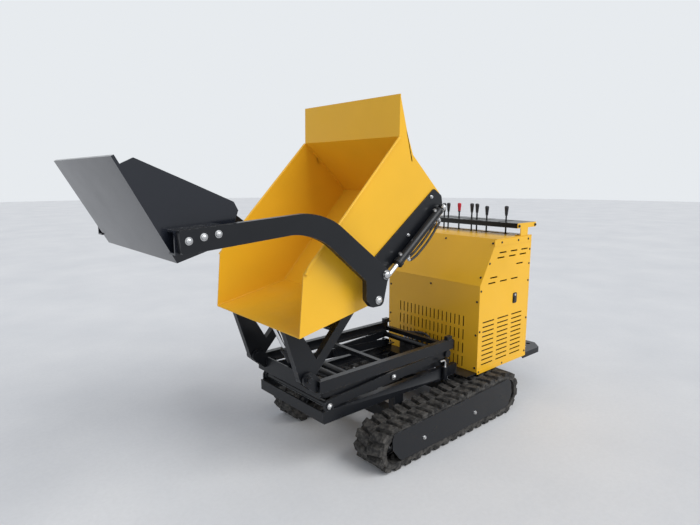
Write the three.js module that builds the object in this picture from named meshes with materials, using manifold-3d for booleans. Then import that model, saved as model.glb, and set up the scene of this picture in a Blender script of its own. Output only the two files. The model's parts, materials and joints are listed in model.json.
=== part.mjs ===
// A tracked site dumper: a scissor lift carries a tipping skip that loads itself with a shovel on two arms.
// Millimetres. +X is forward, +Y is left, +Z is up, and the tracks stand on Z = 0.
import * as THREE from 'three';
import { mergeVertices } from 'three/addons/utils/BufferGeometryUtils.js';
import Module from 'manifold-3d';

const wasm = await Module();
wasm.setup();
const { Manifold } = wasm;

// ---------- Driving dimensions ----------

const seat = 0.3; // gap between two pieces that touch
const pinFit = 0.4; // radial gap round a pin in its hole
const overlap = 1; // how far welded shapes run into each other

// Tracks. Wheel radii are to the outside of the lugs.
const trackY = 347;
const trackWidth = 180;
const idler = { x: 460.5, radius: 110 };
const sprocket = { x: -443.5, radius: 127 };
const beltThickness = 45;
const lugHeight = 20;
const lugLength = 34;
const lugCount = 36;
const beamHalfWidth = 35;
const beamLow = 95;
const beamHigh = 150;
const rollerXs = [-270, -90, 90, 270];
const standoffXs = [-135, 273];
const coverThickness = 4;

// Chassis and lifting frame rails.
const railOuterY = 259;
const railWall = 5;
const railFlange = 30;
const chassisRail = { rear: -208, front: 742, low: 263, high: 320 };
const upperRail = { rear: -172, front: 764, low: 413, high: 468 };
const deckLow = 263;
const deckThickness = 5;
const crossTubeX = 250;

// Scissor lift.
const scissorHalfLength = 422;
const scissorFront = { x: 713, z: 342 };
const scissorRestRise = 49;
const armDepth = 26; // half the depth of an arm at its middle
const outerArmY = [236, 246];
const innerArmY = [218, 228];
const scissorRollerRadius = 21.5;
const crossTubeAt = [180, 250];

// Hood.
const hoodHalfWidth = 346.3;
const hoodWall = 3;
const hoodFront = -275;
const hoodRear = -780;
const hoodFoldZ = 764;
const hoodTopFront = -418;
const hoodTop = 1012;

// Control levers.
const leverX = -720;
const leverYs = [-272, -237, -148, -48, -8, 66, 205];
const gateLow = 1058;
const gateHigh = 1087;
const gateHalfLength = 341;
const gateRear = -822;
const gateFront = -624;

// Footboard.
const footHinge = { x: -805, z: 240 };
const footRear = -1075;
const footHalfWidth = 310;
const footLow = 215;
const footHigh = 250;

// Skip. Its own frame has +X along the floor towards the lip, and +Z up from the floor.
const skipHinge = { x: 815, z: 490 };
const restTilt = 47.6; // degrees nose down
const hingeInSkip = { x: 422, z: -6.3 };
const skipHalfWidth = 349;
const skipWall = 4;
const skipRear = -640;
const skipLip = { x: 327, z: 240 };
const rimFront = { x: 121, z: 395 };
const rimRearZ = 375;
const flapTop = { x: -775, z: 495 };
const skipRailY = [190, 222];
const skipRailLow = -50;

// Shovel arms and their cylinders, in the skip's frame.
const armPivot = { x: -103, z: 92 };
const loaderBase = { x: -582, z: -36 };
const loaderEye = { x: 4, z: 55 };
const sidePlateThickness = 7.7;
const loaderOffset = 33; // from the skip's side to the cylinder's middle plane
const armOffset = 55; // from the skip's side to the arm
const armThickness = 26;

// Shovel. Its own frame has +X along the shovel's floor and +Z into the shovel.
const shovelHeel = { x: 1415, z: 1081.3 };
const shovelAngle = 61.8;
const shovelHalfWidth = 355.5;
const shovelWall = 5;
const shovelFloor = 382;

// Cylinders. Lengths run from the base pin.
const liftCylinder = { base: { x: -60, z: 290 }, barrel: 440, bore: 100, rod: 130 };
const liftEyeDrop = 45; // from the inner arms' middle line down to the lift rod's eye
const tipCylinder = { base: { x: 668, z: 362 }, eyeInSkip: { x: 277, z: 163 }, barrel: 225, bore: 66, rod: 180 };
const loaderCylinder = { barrel: 385, bore: 110, rod: 300 };
const bigBarrelRadius = 25;
const bigRodRadius = 14;
const eyeHalfWidth = 22;
const loaderBarrelRadius = 20;
const loaderRodRadius = 10;

// ---------- Materials ----------

const finishes = {
  yellow: [0xe8ab1f, 0.42, 0.05],
  black: [0x1d2024, 0.45, 0.15],
  shovelGrey: [0x30343a, 0.5, 0.2],
  rubber: [0x2b2b2c, 0.9, 0],
  steel: [0xa9acb0, 0.4, 0.9],
  chrome: [0xd9dcdf, 0.15, 1],
  cast: [0x55585c, 0.6, 0.6],
  knob: [0x16171a, 0.5, 0],
  hose: [0x1a1a1b, 0.7, 0],
};

function material(name) {
  const [color, roughness, metalness] = finishes[name];
  return new THREE.MeshStandardMaterial({ color, roughness, metalness });
}

// ---------- Solids ----------

function solidFrom(geometry) {
  geometry.deleteAttribute('normal');
  geometry.deleteAttribute('uv');
  const merged = mergeVertices(geometry, 1e-4);
  const index = merged.index.array;
  const corners = [];
  for (let i = 0; i < index.length; i += 3) {
    const [a, b, c] = index.slice(i, i + 3);
    if (a !== b && b !== c && c !== a) corners.push(a, b, c);
  }
  const vertProperties = merged.attributes.position.array;
  return new Manifold(new wasm.Mesh({ numProp: 3, vertProperties, triVerts: new Uint32Array(corners) }));
}

function geometryOf(solid) {
  const mesh = solid.simplify(0.01).getMesh();
  const geometry = new THREE.BufferGeometry();
  geometry.setAttribute('position', new THREE.BufferAttribute(mesh.vertProperties, 3));
  geometry.setIndex(new THREE.BufferAttribute(mesh.triVerts, 1));
  const loose = geometry.toNonIndexed();
  loose.computeVertexNormals();
  return loose;
}

function union(...solids) {
  return Manifold.union(solids.flat());
}

// A solid and its mirror image across the middle plane.
function both(solid) {
  return solid.add(solid.mirror([0, 1, 0]));
}

function box([x0, x1], [y0, y1], [z0, z1]) {
  const geometry = new THREE.BoxGeometry(x1 - x0, y1 - y0, z1 - z0);
  return solidFrom(geometry.translate((x0 + x1) / 2, (y0 + y1) / 2, (z0 + z1) / 2));
}

// A round bar across the machine.
function crossBar({ x, z }, radius, [y0, y1], sides = 16) {
  const geometry = new THREE.CylinderGeometry(radius, radius, y1 - y0, sides);
  return solidFrom(geometry.translate(x, (y0 + y1) / 2, z));
}

function upright({ x, y }, radius, [z0, z1], sides = 12) {
  const geometry = new THREE.CylinderGeometry(radius, radius, z1 - z0, sides);
  return solidFrom(geometry.rotateX(Math.PI / 2).translate(x, y, (z0 + z1) / 2));
}

// A round bar along X, on the axis y = z = 0.
function longBar(radius, [x0, x1], sides = 16) {
  const geometry = new THREE.CylinderGeometry(radius, radius, x1 - x0, sides);
  return solidFrom(geometry.rotateZ(-Math.PI / 2).translate((x0 + x1) / 2, 0, 0));
}

// A closed outline from corners [x, z, radius]; a corner with no radius is sharp.
function outline(corners) {
  const shape = new THREE.Shape();
  const count = corners.length;
  corners.forEach(([x, z, radius = 0], i) => {
    const corner = new THREE.Vector2(x, z);
    if (radius === 0) {
      if (i === 0) shape.moveTo(x, z);
      else shape.lineTo(x, z);
      return;
    }
    const back = new THREE.Vector2(...corners[(i + count - 1) % count].slice(0, 2)).sub(corner).normalize();
    const ahead = new THREE.Vector2(...corners[(i + 1) % count].slice(0, 2)).sub(corner).normalize();
    const half = Math.acos(back.dot(ahead)) / 2;
    const centre = back.clone().add(ahead).normalize().multiplyScalar(radius / Math.sin(half)).add(corner);
    const setback = radius / Math.tan(half);
    const start = back.multiplyScalar(setback).add(corner).sub(centre);
    const end = ahead.clone().multiplyScalar(setback).add(corner).sub(centre);
    const turnsRight = start.cross(end) < 0;
    if (i > 0) shape.lineTo(centre.x + start.x, centre.y + start.y);
    shape.absarc(centre.x, centre.y, radius, start.angle(), end.angle(), turnsRight);
  });
  return shape;
}

// A shape in the X-Z plane given its thickness across the machine.
function extrude(shape, [y0, y1], curveSegments = 3) {
  const geometry = new THREE.ExtrudeGeometry(shape, { depth: y1 - y0, bevelEnabled: false, curveSegments });
  return solidFrom(geometry.rotateX(Math.PI / 2).translate(0, y1, 0));
}

function plate(corners, ys, curveSegments) {
  return extrude(outline(corners), ys, curveSegments);
}

// The line moved sideways, to the left of its direction of travel, with mitred corners.
function offsetLine(points, distance) {
  const normals = points.slice(1).map(([x, z], i) => {
    const run = new THREE.Vector2(x - points[i][0], z - points[i][1]).normalize();
    return new THREE.Vector2(-run.y, run.x);
  });
  return points.map(([x, z], i) => {
    const before = normals[Math.max(i - 1, 0)];
    const after = normals[Math.min(i, normals.length - 1)];
    const shift = distance / (1 + before.dot(after));
    return [x + (before.x + after.x) * shift, z + (before.y + after.y) * shift];
  });
}

// Folded sheet metal: a line with its thickness laid to the left of it.
function sheet(points, thickness, ys) {
  return plate([...points, ...offsetLine(points, thickness).reverse()], ys);
}

function moved(solid, { x, z }, noseDown) {
  return solid.rotate([0, noseDown, 0]).translate([x, 0, z]);
}

// ---------- The scene ----------

const machine = new THREE.Group();
const skipGroup = new THREE.Group();
machine.add(skipGroup);

function add(name, finish, solid, parent = machine) {
  const mesh = new THREE.Mesh(geometryOf(solid), material(finish));
  mesh.name = name;
  parent.add(mesh);
  return mesh;
}

function addPair(name, finish, solid, parent = machine) {
  add('left_' + name, finish, solid, parent);
  add('right_' + name, finish, solid.mirror([0, 1, 0]), parent);
}

// A point of the skip's frame, in the machine's frame with the skip tipped as it stands at rest.
const tilt = THREE.MathUtils.degToRad(restTilt);
function fromSkip({ x, z }) {
  const dx = x - hingeInSkip.x;
  const dz = z - hingeInSkip.z;
  return {
    x: skipHinge.x + dx * Math.cos(tilt) + dz * Math.sin(tilt),
    z: skipHinge.z - dx * Math.sin(tilt) + dz * Math.cos(tilt),
  };
}

// ---------- Tracks ----------

const trackYs = [trackY - trackWidth / 2, trackY + trackWidth / 2];
const beamYs = [trackY - beamHalfWidth, trackY + beamHalfWidth];
const idlerAxle = { x: idler.x, z: idler.radius };
const sprocketAxle = { x: sprocket.x, z: sprocket.radius };
const wheelSpan = Math.hypot(idler.x - sprocket.x, idler.radius - sprocket.radius);
const lowerNormal = -Math.PI / 2;
const upperNormal =
  Math.atan2(idler.radius - sprocket.radius, idler.x - sprocket.x) +
  Math.acos((sprocket.radius - idler.radius) / wheelSpan);
const idlerWheelRadius = idler.radius - beltThickness - seat;
const sprocketWheelRadius = sprocket.radius - beltThickness - seat;

// The line that runs round both wheels, at a depth inside the lugs' tips.
function trackLine(depth) {
  const shape = new THREE.Shape();
  shape.absarc(idler.x, idler.radius, idler.radius - depth, lowerNormal, upperNormal, false);
  shape.absarc(sprocket.x, sprocket.radius, sprocket.radius - depth, upperNormal, lowerNormal + 2 * Math.PI, false);
  return shape;
}

// Where a lug stands: a point on the lugs' tips and the way it faces, at a distance round the track.
function lugPlace(distance) {
  const straight = Math.sqrt(wheelSpan ** 2 - (sprocket.radius - idler.radius) ** 2);
  const wheel = ({ x, radius }, angle) => ({
    x: x + radius * Math.cos(angle),
    z: radius + radius * Math.sin(angle),
    angle,
  });
  const stretches = [
    [straight, (t) => ({ x: sprocket.x + t, z: 0, angle: lowerNormal })],
    [idler.radius * (upperNormal - lowerNormal), (t) => wheel(idler, lowerNormal + t / idler.radius)],
    [straight, (t) => {
      const start = wheel(idler, upperNormal);
      return { x: start.x - t * Math.sin(upperNormal), z: start.z + t * Math.cos(upperNormal), angle: upperNormal };
    }],
    [sprocket.radius * (lowerNormal + 2 * Math.PI - upperNormal),
      (t) => wheel(sprocket, upperNormal + t / sprocket.radius)],
  ];
  const total = stretches.reduce((sum, [length]) => sum + length, 0);
  let left = distance * total;
  for (const [length, place] of stretches) {
    if (left <= length) return place(left);
    left -= length;
  }
  return stretches[0][1](0);
}

function track() {
  const belt = extrude(trackLine(lugHeight), trackYs, 12).subtract(extrude(trackLine(beltThickness), trackYs, 12));
  const root = lugHeight / 2;
  const lug = box([-lugLength / 2, lugLength / 2], trackYs, [-lugHeight - root, 0]);
  const lugs = Array.from({ length: lugCount }, (_, i) => {
    const { x, z, angle } = lugPlace((i + 0.5) / lugCount);
    return moved(lug, { x, z }, 90 - THREE.MathUtils.radToDeg(angle));
  });
  return union(belt, lugs).intersect(extrude(trackLine(0), trackYs, 12));
}

const coverYs = [trackYs[1] + 2, trackYs[1] + 2 + coverThickness];
const standoffZ = idler.radius + 2;
const wheelClearance = 10;

function trackFrame() {
  const [inner, outer] = beamYs;
  const rearEnd = sprocket.x + sprocketWheelRadius + wheelClearance;
  const frontEnd = idler.x - idlerWheelRadius - wheelClearance;
  const rollerRadius = 30;
  const rollerYs = [inner + 5, outer - 5];
  const rollerAxleZ = beltThickness + seat + rollerRadius;
  const rollers = rollerXs.map((x) => crossBar({ x, z: rollerAxleZ }, rollerRadius, rollerYs));
  const forkThickness = 10;
  const forkBack = frontEnd - 100;
  const forkEnd = idler.x + 22;
  const forkOutline = [[forkBack, idler.radius - 18], [forkEnd, idler.radius - 18, 12],
    [forkEnd, idler.radius + 18, 12], [forkBack, idler.radius + 18]];
  const forks = [[inner - forkThickness, inner + overlap / 2], [outer - overlap / 2, outer + forkThickness]]
    .map((ys) => plate(forkOutline, ys))
    .map((fork) => fork.subtract(crossBar(idlerAxle, 12 + pinFit, [inner - 20, outer + 20])));
  const standoffs = standoffXs.map((x) => crossBar({ x, z: standoffZ }, 12, [outer - 5, coverYs[0] - seat], 16));
  return union(
    box([rearEnd, frontEnd], beamYs, [beamLow, beamHigh]),
    rollers, forks, standoffs, carrierRoller(),
  );
}

// The small wheel that holds up the track's upper run.
function carrierRoller() {
  const [inner, outer] = beamYs;
  const radius = 24;
  const upper = idler.radius - beltThickness + idler.radius;
  const rise = (sprocket.radius - idler.radius) * 2 * idler.x / (idler.x - sprocket.x);
  const axle = { x: 0, z: upper + rise - radius - 1 };
  const ear = box([-14, 14], [inner + 4, inner + 10], [beamHigh - overlap, axle.z + 12]);
  return union(
    crossBar(axle, radius, [inner + 12, outer - 12]),
    crossBar(axle, 8, [inner + 4, outer - 4]),
    ear, ear.translate([0, outer - inner - 14, 0]),
  );
}

function idlerWheel() {
  const [inner, outer] = beamYs;
  return union(
    crossBar(idlerAxle, idlerWheelRadius, [inner + 5, outer - 5], 32),
    crossBar(idlerAxle, 28, [inner + 1, outer - 1]),
    crossBar(idlerAxle, 12, [inner - 14, outer + 14]),
  );
}

const motorYs = [190, trackYs[0] - 2];
const motorMountThickness = 11.7;

function sprocketWheel() {
  const toothCount = 12;
  const toothLength = 20;
  const ys = [trackY - 24, trackY + 24];
  const tooth = box([-toothLength / 2, toothLength / 2], ys, [sprocketWheelRadius - 16, sprocketWheelRadius]);
  const teeth = Array.from({ length: toothCount }, (_, i) => moved(tooth, sprocketAxle, i * 360 / toothCount));
  const rim = crossBar(sprocketAxle, sprocketWheelRadius, ys, 48);
  return union(
    union(teeth).intersect(rim),
    crossBar(sprocketAxle, sprocketWheelRadius - 12, ys, 32),
    crossBar(sprocketAxle, 45, [motorYs[1] + seat, trackY + 32]),
  );
}

function driveMotor() {
  return union(
    crossBar(sprocketAxle, 55, motorYs, 32),
    crossBar(sprocketAxle, 40, [motorYs[0] - 70, motorYs[0] + overlap]),
    box([sprocket.x - 22, sprocket.x + 22], [motorYs[0] - 62, motorYs[0] - 25], [sprocket.radius, sprocket.radius + 58]),
  );
}

function trackCover() {
  const low = beltThickness + 7;
  const shape = [
    [idler.x + 18, 198, 10], [sprocket.x - 6, 216, 10], [sprocket.x - 33, 193, 14], [sprocket.x - 46, 121, 20],
    [sprocket.x - 8, low, 20], [idler.x - 26, low, 20], [idler.x + 29, 122, 20], [idler.x + 33, 173, 14],
  ];
  const bolts = standoffXs.map((x) => crossBar({ x, z: standoffZ }, 11, [coverYs[1] - overlap, coverYs[1] + 6], 6));
  return union(plate(shape, coverYs), bolts);
}

// ---------- Chassis ----------

// A channel rail on each side, open towards the middle.
function rails({ rear, front, low, high }) {
  const webY = [railOuterY - railWall, railOuterY];
  const flangeY = [railOuterY - railFlange, railOuterY - railWall / 2];
  return both(union(
    box([rear, front], webY, [low, high]),
    box([rear, front], flangeY, [low, low + railWall]),
    box([rear, front], flangeY, [high - railWall, high]),
  ));
}

const underRailYs = [205, 250];
const underRailLow = deckLow - 50;
const crossTubeZ = [110, 170];

// The beams below the deck, and the tubes that join them to the track frames.
function undercarriage() {
  const sizes = [-30, 30];
  const tubeHalf = beamYs[0] - seat;
  const tubes = [-crossTubeX, crossTubeX].map((x) =>
    box(sizes.map((d) => x + d), [-tubeHalf, tubeHalf], crossTubeZ));
  const rearPosts = box(sizes.map((d) => d - crossTubeX), underRailYs, [crossTubeZ[1] - overlap, underRailLow + overlap]);
  const frontPosts = box(sizes.map((d) => d + crossTubeX), underRailYs, [crossTubeZ[1] - overlap, deckLow + overlap]);
  const beams = box([hoodRear, chassisRail.rear + 10], underRailYs, [underRailLow, deckLow + overlap]);
  return union(tubes, both(union(rearPosts, frontPosts, beams)));
}

function motorMounts() {
  const { x, radius } = sprocket;
  const ys = [motorYs[0] - seat - motorMountThickness, motorYs[0] - seat];
  const mount = plate([[x - 66, deckLow + overlap], [x - 66, 80, 40], [x + 66, 80, 40], [x + 66, deckLow + overlap]], ys);
  return both(mount.subtract(crossBar({ x, z: radius }, 40 + pinFit, [ys[0] - 5, ys[1] + 5])));
}

// Two ears and a pin for a cylinder's base eye, rising or hanging from a flat at seatZ.
function cylinderSeat({ x, z }, seatZ, halfWidth) {
  const ears = both(plate(
    [[x - 30, seatZ], [x - 20, z + Math.sign(z - seatZ) * 18, 12], [x + 20, z + Math.sign(z - seatZ) * 18, 12],
      [x + 30, seatZ]],
    [halfWidth + seat, halfWidth + 8],
  ));
  return union(ears, crossBar({ x, z }, 10, [-halfWidth - 12, halfWidth + 12]));
}

const pivotEarYs = [250, 258];

function scissorEars() {
  const { x, z } = scissorFront;
  const shape = [[x - 26, chassisRail.high - 2], [x - 26, z + 6, 8], [x - 16, z + 24, 10], [x + 16, z + 24, 10],
    [x + 26, z + 6, 8], [x + 26, chassisRail.high - 2]];
  return both(plate(shape, pivotEarYs).subtract(crossBar({ x, z }, 15 + pinFit, [pivotEarYs[0] - 5, pivotEarYs[1] + 5])));
}

const footEarYs = [292, 300];

function footboardEars() {
  const { x, z } = footHinge;
  const ear = plate([[hoodRear, deckLow + 2], [hoodRear, z - 11, 6], [x - 12, z - 11, 10], [x - 12, z + 12, 10],
    [x + 10, deckLow + 2]], footEarYs);
  return both(union(ear, crossBar({ x, z }, 6, [footEarYs[0] - 6, footHalfWidth + 2], 16)));
}

const lockPin = { x: -85, y: railOuterY + 13 };
const lockSleeveZ = [262, 330];

function lockSleeves() {
  const sleeve = upright(lockPin, 14, lockSleeveZ).subtract(upright(lockPin, 8 + pinFit, [200, 400]));
  return both(sleeve);
}

const bumperXs = [chassisRail.front - overlap, chassisRail.front + 8];
const bumperLow = chassisRail.low + railWall;
const frontMemberXs = [280, 320];
const deckXs = [hoodRear - 10, chassisRail.rear + 28];

function chassis() {
  const acrossRails = [overlap - railOuterY, railOuterY - overlap];
  const cylinderBed = [liftCylinder.base.x - 40, liftCylinder.base.x + 40];
  return union(
    rails(chassisRail),
    box(bumperXs, [-railOuterY, railOuterY], [bumperLow, chassisRail.high]),
    box(frontMemberXs, acrossRails, [chassisRail.low, chassisRail.low + 20]),
    box(cylinderBed, acrossRails, [deckLow - 10, deckLow + overlap]),
    box(deckXs, [-hoodHalfWidth, hoodHalfWidth], [deckLow, deckLow + deckThickness]),
    undercarriage(), motorMounts(), scissorEars(), footboardEars(), lockSleeves(),
    cylinderSeat(liftCylinder.base, deckLow, 28),
  );
}

function lockPinSolid() {
  const handle = box([lockPin.x - 7, lockPin.x + 42], [lockPin.y - 6, lockPin.y + 6], [364, 376]);
  const collar = upright(lockPin, 12, [lockSleeveZ[1] + seat, lockSleeveZ[1] + 8]);
  return union(upright(lockPin, 8, [256, 376]), collar, handle);
}

function footboard() {
  const inside = footHalfWidth - 6;
  const flange = 4;
  const boardFront = footHinge.x - 17;
  const tray = union(
    box([footRear, boardFront], [-footHalfWidth, footHalfWidth], [footHigh - flange, footHigh]),
    box([footRear, footRear + flange], [-footHalfWidth, footHalfWidth], [footLow, footHigh]),
    both(box([footRear, boardFront], [inside, footHalfWidth], [footLow, footHigh])),
    both(plate([[boardFront - 20, footHigh], [boardFront - 20, footHinge.z - 15], [footHinge.x + 12, footHinge.z - 11, 10],
      [footHinge.x + 12, footHinge.z + 10, 10]], [inside, footHalfWidth])),
  );
  const notches = both(box([boardFront - 38, 0], [footEarYs[0] - 6, inside], [0, footHigh + 10]));
  const pinHoles = both(crossBar(footHinge, 6 + pinFit, [inside - 4, footHalfWidth + 5], 16));
  return tray.subtract(union(notches, pinHoles, footboardHoles(), cutCorners()));
}

// The rear corners of the footboard are cut off at 45 degrees, seen from above.
function cutCorners() {
  const cut = 45;
  const block = box([-cut, cut], [-cut, cut], [footLow - 10, footHigh + 10]).rotate([0, 0, 45]);
  return both(block.translate([footRear, footHalfWidth, 0]));
}

function footboardHoles() {
  const rows = [footRear + 55, footRear + 125, footRear + 195];
  const holes = rows.flatMap((x, row) => Array.from({ length: 7 }, (_, i) => {
    const y = (i - 3) * 76 + (row % 2) * 12;
    return upright({ x, y }, 15, [footHigh - 10, footHigh + 10], 12);
  }));
  return union(holes);
}

// ---------- Hood and controls ----------

const deckTop = deckLow + deckThickness + seat;
const hoodTopReturn = 22;
const hoodFrontLine = [
  [hoodFront, deckTop], [hoodFront, hoodFoldZ], [hoodTopFront, hoodTop], [hoodTopFront - hoodTopReturn, hoodTop],
];

// The slots that let air through the hood's front.
const frontSlot = { rows: 4, columns: 17, pitch: 30.5, width: 8, rise: 79, height: 60, low: 281 };

function hoodFrontPanel() {
  const panel = sheet(hoodFrontLine, hoodWall, [-hoodHalfWidth, hoodHalfWidth]);
  const slots = [];
  for (let row = 0; row < frontSlot.rows; row += 1) {
    for (let column = 0; column < frontSlot.columns; column += 1) {
      const y = (column - (frontSlot.columns - 1) / 2) * frontSlot.pitch;
      const z = frontSlot.low + row * frontSlot.rise;
      const ys = [y - frontSlot.width / 2, y + frontSlot.width / 2];
      slots.push(box([hoodFront - 10, hoodFront + 10], ys, [z, z + frontSlot.height]));
    }
  }
  return panel.subtract(union(slots));
}

function hoodSidePanel() {
  const ys = [hoodHalfWidth - hoodWall, hoodHalfWidth];
  const inner = offsetLine(hoodFrontLine, hoodWall + seat).slice(0, 3);
  const rear = hoodRear + hoodWall + seat;
  const top = hoodTop - hoodWall - seat;
  const panel = plate([...inner, [rear, top], [rear, deckTop]], ys);
  return panel.subtract(union(sideLouvres(), upperVents()).translate([0, hoodHalfWidth, 0]));
}

// Slots are 8 mm high and cut right through the panel.
function sideSlot(x, z, length) {
  return box([x, x + length], [-10, 10], [z, z + 8]);
}

const louvre = { fromFront: [150, 293, 437], length: 111, rows: 10, low: 302, rise: 27.2 };

function sideLouvres() {
  const slots = [];
  for (const back of louvre.fromFront) {
    for (let row = 0; row < louvre.rows; row += 1) {
      slots.push(sideSlot(hoodFront - back, louvre.low + row * louvre.rise, louvre.length));
    }
  }
  return union(slots);
}

// Each row is its height and the rear ends of its slots.
const ventLength = 70;
const ventRows = [
  [929, [-517, -630, -743]], [901, [-499, -615, -727]], [848, [-697]], [794, [-437]], [764, [-421, -535, -648]],
];

function upperVents() {
  return union(ventRows.flatMap(([z, xs]) => xs.map((x) => sideSlot(x, z, ventLength))));
}

function hoodTopPanel() {
  const front = hoodTopFront - hoodTopReturn - seat;
  const rear = hoodRear + hoodWall + seat;
  const panel = box([rear, front], [-hoodHalfWidth, hoodHalfWidth], [hoodTop - hoodWall, hoodTop]);
  const slotYs = [leverYs[0] - 20, leverYs[leverYs.length - 1] + 20];
  return panel.subtract(box([leverX - 20, leverX + 20], slotYs, [hoodTop - 20, hoodTop + 20]));
}

function hoodRearPanel() {
  return box([hoodRear, hoodRear + hoodWall], [-hoodHalfWidth, hoodHalfWidth], [deckTop, hoodTop]);
}

function engine() {
  return box([-690, -360], [-150, 150], [deckTop, 600]);
}

const valveTop = 985;

function controlStand() {
  const ys = [leverYs[0] - 22, leverYs[leverYs.length - 1] + 22];
  return union(
    box([leverX - 20, leverX + 22], [-60, 0], [deckTop, 900]),
    box([leverX - 20, leverX + 22], ys, [899, valveTop]),
  );
}

function controlLevers() {
  const ys = [leverYs[0] - 10, leverYs[leverYs.length - 1] + 10];
  const base = box([leverX - 10, leverX + 10], ys, [valveTop + seat, valveTop + 9]);
  const rods = leverYs.map((y) => upright({ x: leverX, y }, 5, [valveTop + 5, 1150], 12));
  const knobs = leverYs.map((y) => upright({ x: leverX, y }, 9, [1145, 1186], 16));
  return union(base, rods, knobs);
}

const gateWall = 4;

// The levers move in slots in this upturned channel.
function leverGate() {
  const ys = [-gateHalfLength, gateHalfLength];
  const hollow = box([gateRear + gateWall, gateFront - gateWall],
    [gateWall - gateHalfLength, gateHalfLength - gateWall], [gateLow - 10, gateHigh - gateWall]);
  const slots = leverYs.map((y) => box([gateRear + 8, gateFront - 8], [y - 8, y + 8], [gateHigh - 10, gateHigh + 10]));
  return box([gateRear, gateFront], ys, [gateLow, gateHigh]).subtract(union(hollow, slots));
}

const bracketStem = [-735, -657];

// A T with its stem on the hood and a foot under it.
function gateBracket() {
  const ys = [gateHalfLength + seat, gateHalfLength + 5];
  return union(
    box(bracketStem, ys, [hoodTop + seat, gateHigh - 5]),
    box(bracketStem, [ys[1] - 40, ys[1]], [hoodTop + seat, hoodTop + 5]),
    box([gateRear, gateFront], ys, [gateLow, gateHigh]),
  );
}

function hydraulicManifold() {
  return box([-262, -192], [-170, -60], [deckTop, 350]);
}

// ---------- Scissor lift ----------

const restAngle = Math.asin(scissorRestRise / (2 * scissorHalfLength));
const restDegrees = THREE.MathUtils.radToDeg(restAngle);
const scissorCentre = {
  x: scissorFront.x - scissorHalfLength * Math.cos(restAngle),
  z: scissorFront.z + scissorRestRise / 2,
};
const upperFrontPivot = { x: scissorFront.x, z: scissorFront.z + scissorRestRise };
const rearX = scissorFront.x - 2 * scissorHalfLength * Math.cos(restAngle);
const outerRear = { x: rearX, z: upperFrontPivot.z };
const innerRear = { x: rearX, z: scissorFront.z };

// A point given along and above the inner arms from their middle, in the machine's frame at rest.
function onInnerArm(along, above) {
  return {
    x: scissorCentre.x + along * Math.cos(restAngle) - above * Math.sin(restAngle),
    z: scissorCentre.z + along * Math.sin(restAngle) + above * Math.cos(restAngle),
  };
}

function scissorArm(ys) {
  const end = scissorHalfLength + 20;
  return plate([[-end, -20, 17], [-end, 20, 17], [0, armDepth], [end, 20, 17], [end, -20, 17], [0, -armDepth]], ys);
}

function outerArms() {
  const [inner, outer] = outerArmY;
  const arm = moved(scissorArm(outerArmY), scissorCentre, restDegrees);
  const shaftEnd = pivotEarYs[1] + 4;
  const side = union(
    arm,
    crossBar(scissorCentre, 14, [innerArmY[0] - 7, outer + 2]),
    crossBar(scissorCentre, 20, [innerArmY[0] - 7, innerArmY[0] - seat]),
    crossBar(scissorCentre, 22, [innerArmY[1] + seat, inner + overlap]),
    crossBar(scissorCentre, 20, [outer - overlap, outer + 5], 6),
    crossBar(scissorFront, 20, [outer - overlap, pivotEarYs[0] - seat]),
    crossBar(outerRear, scissorRollerRadius, [outer - overlap, railOuterY - 1]),
  );
  return union(
    both(side),
    crossBar(scissorFront, 15, [-shaftEnd, shaftEnd]),
    crossBar(outerRear, 15, [-outer, outer]),
  );
}

function innerArms() {
  const [inner, outer] = innerArmY;
  const rollerYs = [railOuterY - railFlange + 1, outer + 22];
  const arm = moved(scissorArm(innerArmY), scissorCentre, -restDegrees).subtract(union(
    crossBar(scissorCentre, 14 + pinFit, [inner - 5, outer + 5]),
    crossBar(upperFrontPivot, 12 + pinFit, [inner - 5, outer + 5]),
  ));
  const roller = union(
    crossBar(innerRear, 10, [inner - 4, rollerYs[1] + 2]),
    crossBar(innerRear, scissorRollerRadius, rollerYs),
  );
  const tubes = crossTubeAt.map((x) => crossBar({ x, z: 0 }, 20, [-inner - overlap, inner + overlap]));
  const [eyeAt] = crossTubeAt;
  const lugEnd = -liftEyeDrop - 17;
  const lugs = both(plate([[eyeAt - 18, 0], [eyeAt - 16, lugEnd, 14], [eyeAt + 16, lugEnd, 14], [eyeAt + 18, 0]],
    [eyeHalfWidth + seat, eyeHalfWidth + 7]));
  return union(both(union(arm, roller)), moved(union(tubes, lugs), scissorCentre, -restDegrees));
}

// ---------- Upper frame ----------

const hingeLugOutlineFor = ({ x, z }) => [
  [700, 430], [700, upperRail.low + 1], [775, upperRail.low + 1, 10], [x + 24, z - 20, 24], [x + 24, z + 24, 24],
  [x - 24, z + 24, 24], [745, upperRail.high],
];

function hingeLugs() {
  const [inner, outer] = skipRailY;
  const shape = hingeLugOutlineFor(skipHinge);
  const outerLug = plate(shape, [outer + 7, outer + 19]);
  const innerLug = plate(shape, [inner - 11, inner - 3]);
  const pin = crossBar(skipHinge, 12, [inner - 14, outer + 40]);
  const head = crossBar(skipHinge, 19, [outer + 19 - overlap, outer + 27], 6);
  return both(union(outerLug, innerLug, pin, head));
}

function upperPivotEars() {
  const { x, z } = upperFrontPivot;
  const [inner] = innerArmY;
  const shape = [[x - 24, z + 45], [x - 24, z - 22, 12], [x + 20, z - 22, 12], [upperRail.front - 4, z - 5],
    [upperRail.front - 4, z + 45]];
  return both(union(
    plate(shape, [inner - 13, inner - 5]),
    crossBar({ x, z }, 12, [inner - 13, innerArmY[1] + 1.5]),
  ));
}

function tipCylinderSeat() {
  const { x, z } = tipCylinder.base;
  const front = upperRail.front - 4;
  const ears = plate([[front, z + 78], [front, z + 34], [x + 62, z + 6, 8], [x + 32, z + 6, 6], [x + 22, z - 20, 10],
    [x - 18, z - 26, 16], [x - 24, z + 10, 16], [x + 22, z + 78]], [30 + seat, 38]);
  return union(both(ears), crossBar({ x, z }, 10, [-42, 42]));
}

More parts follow.
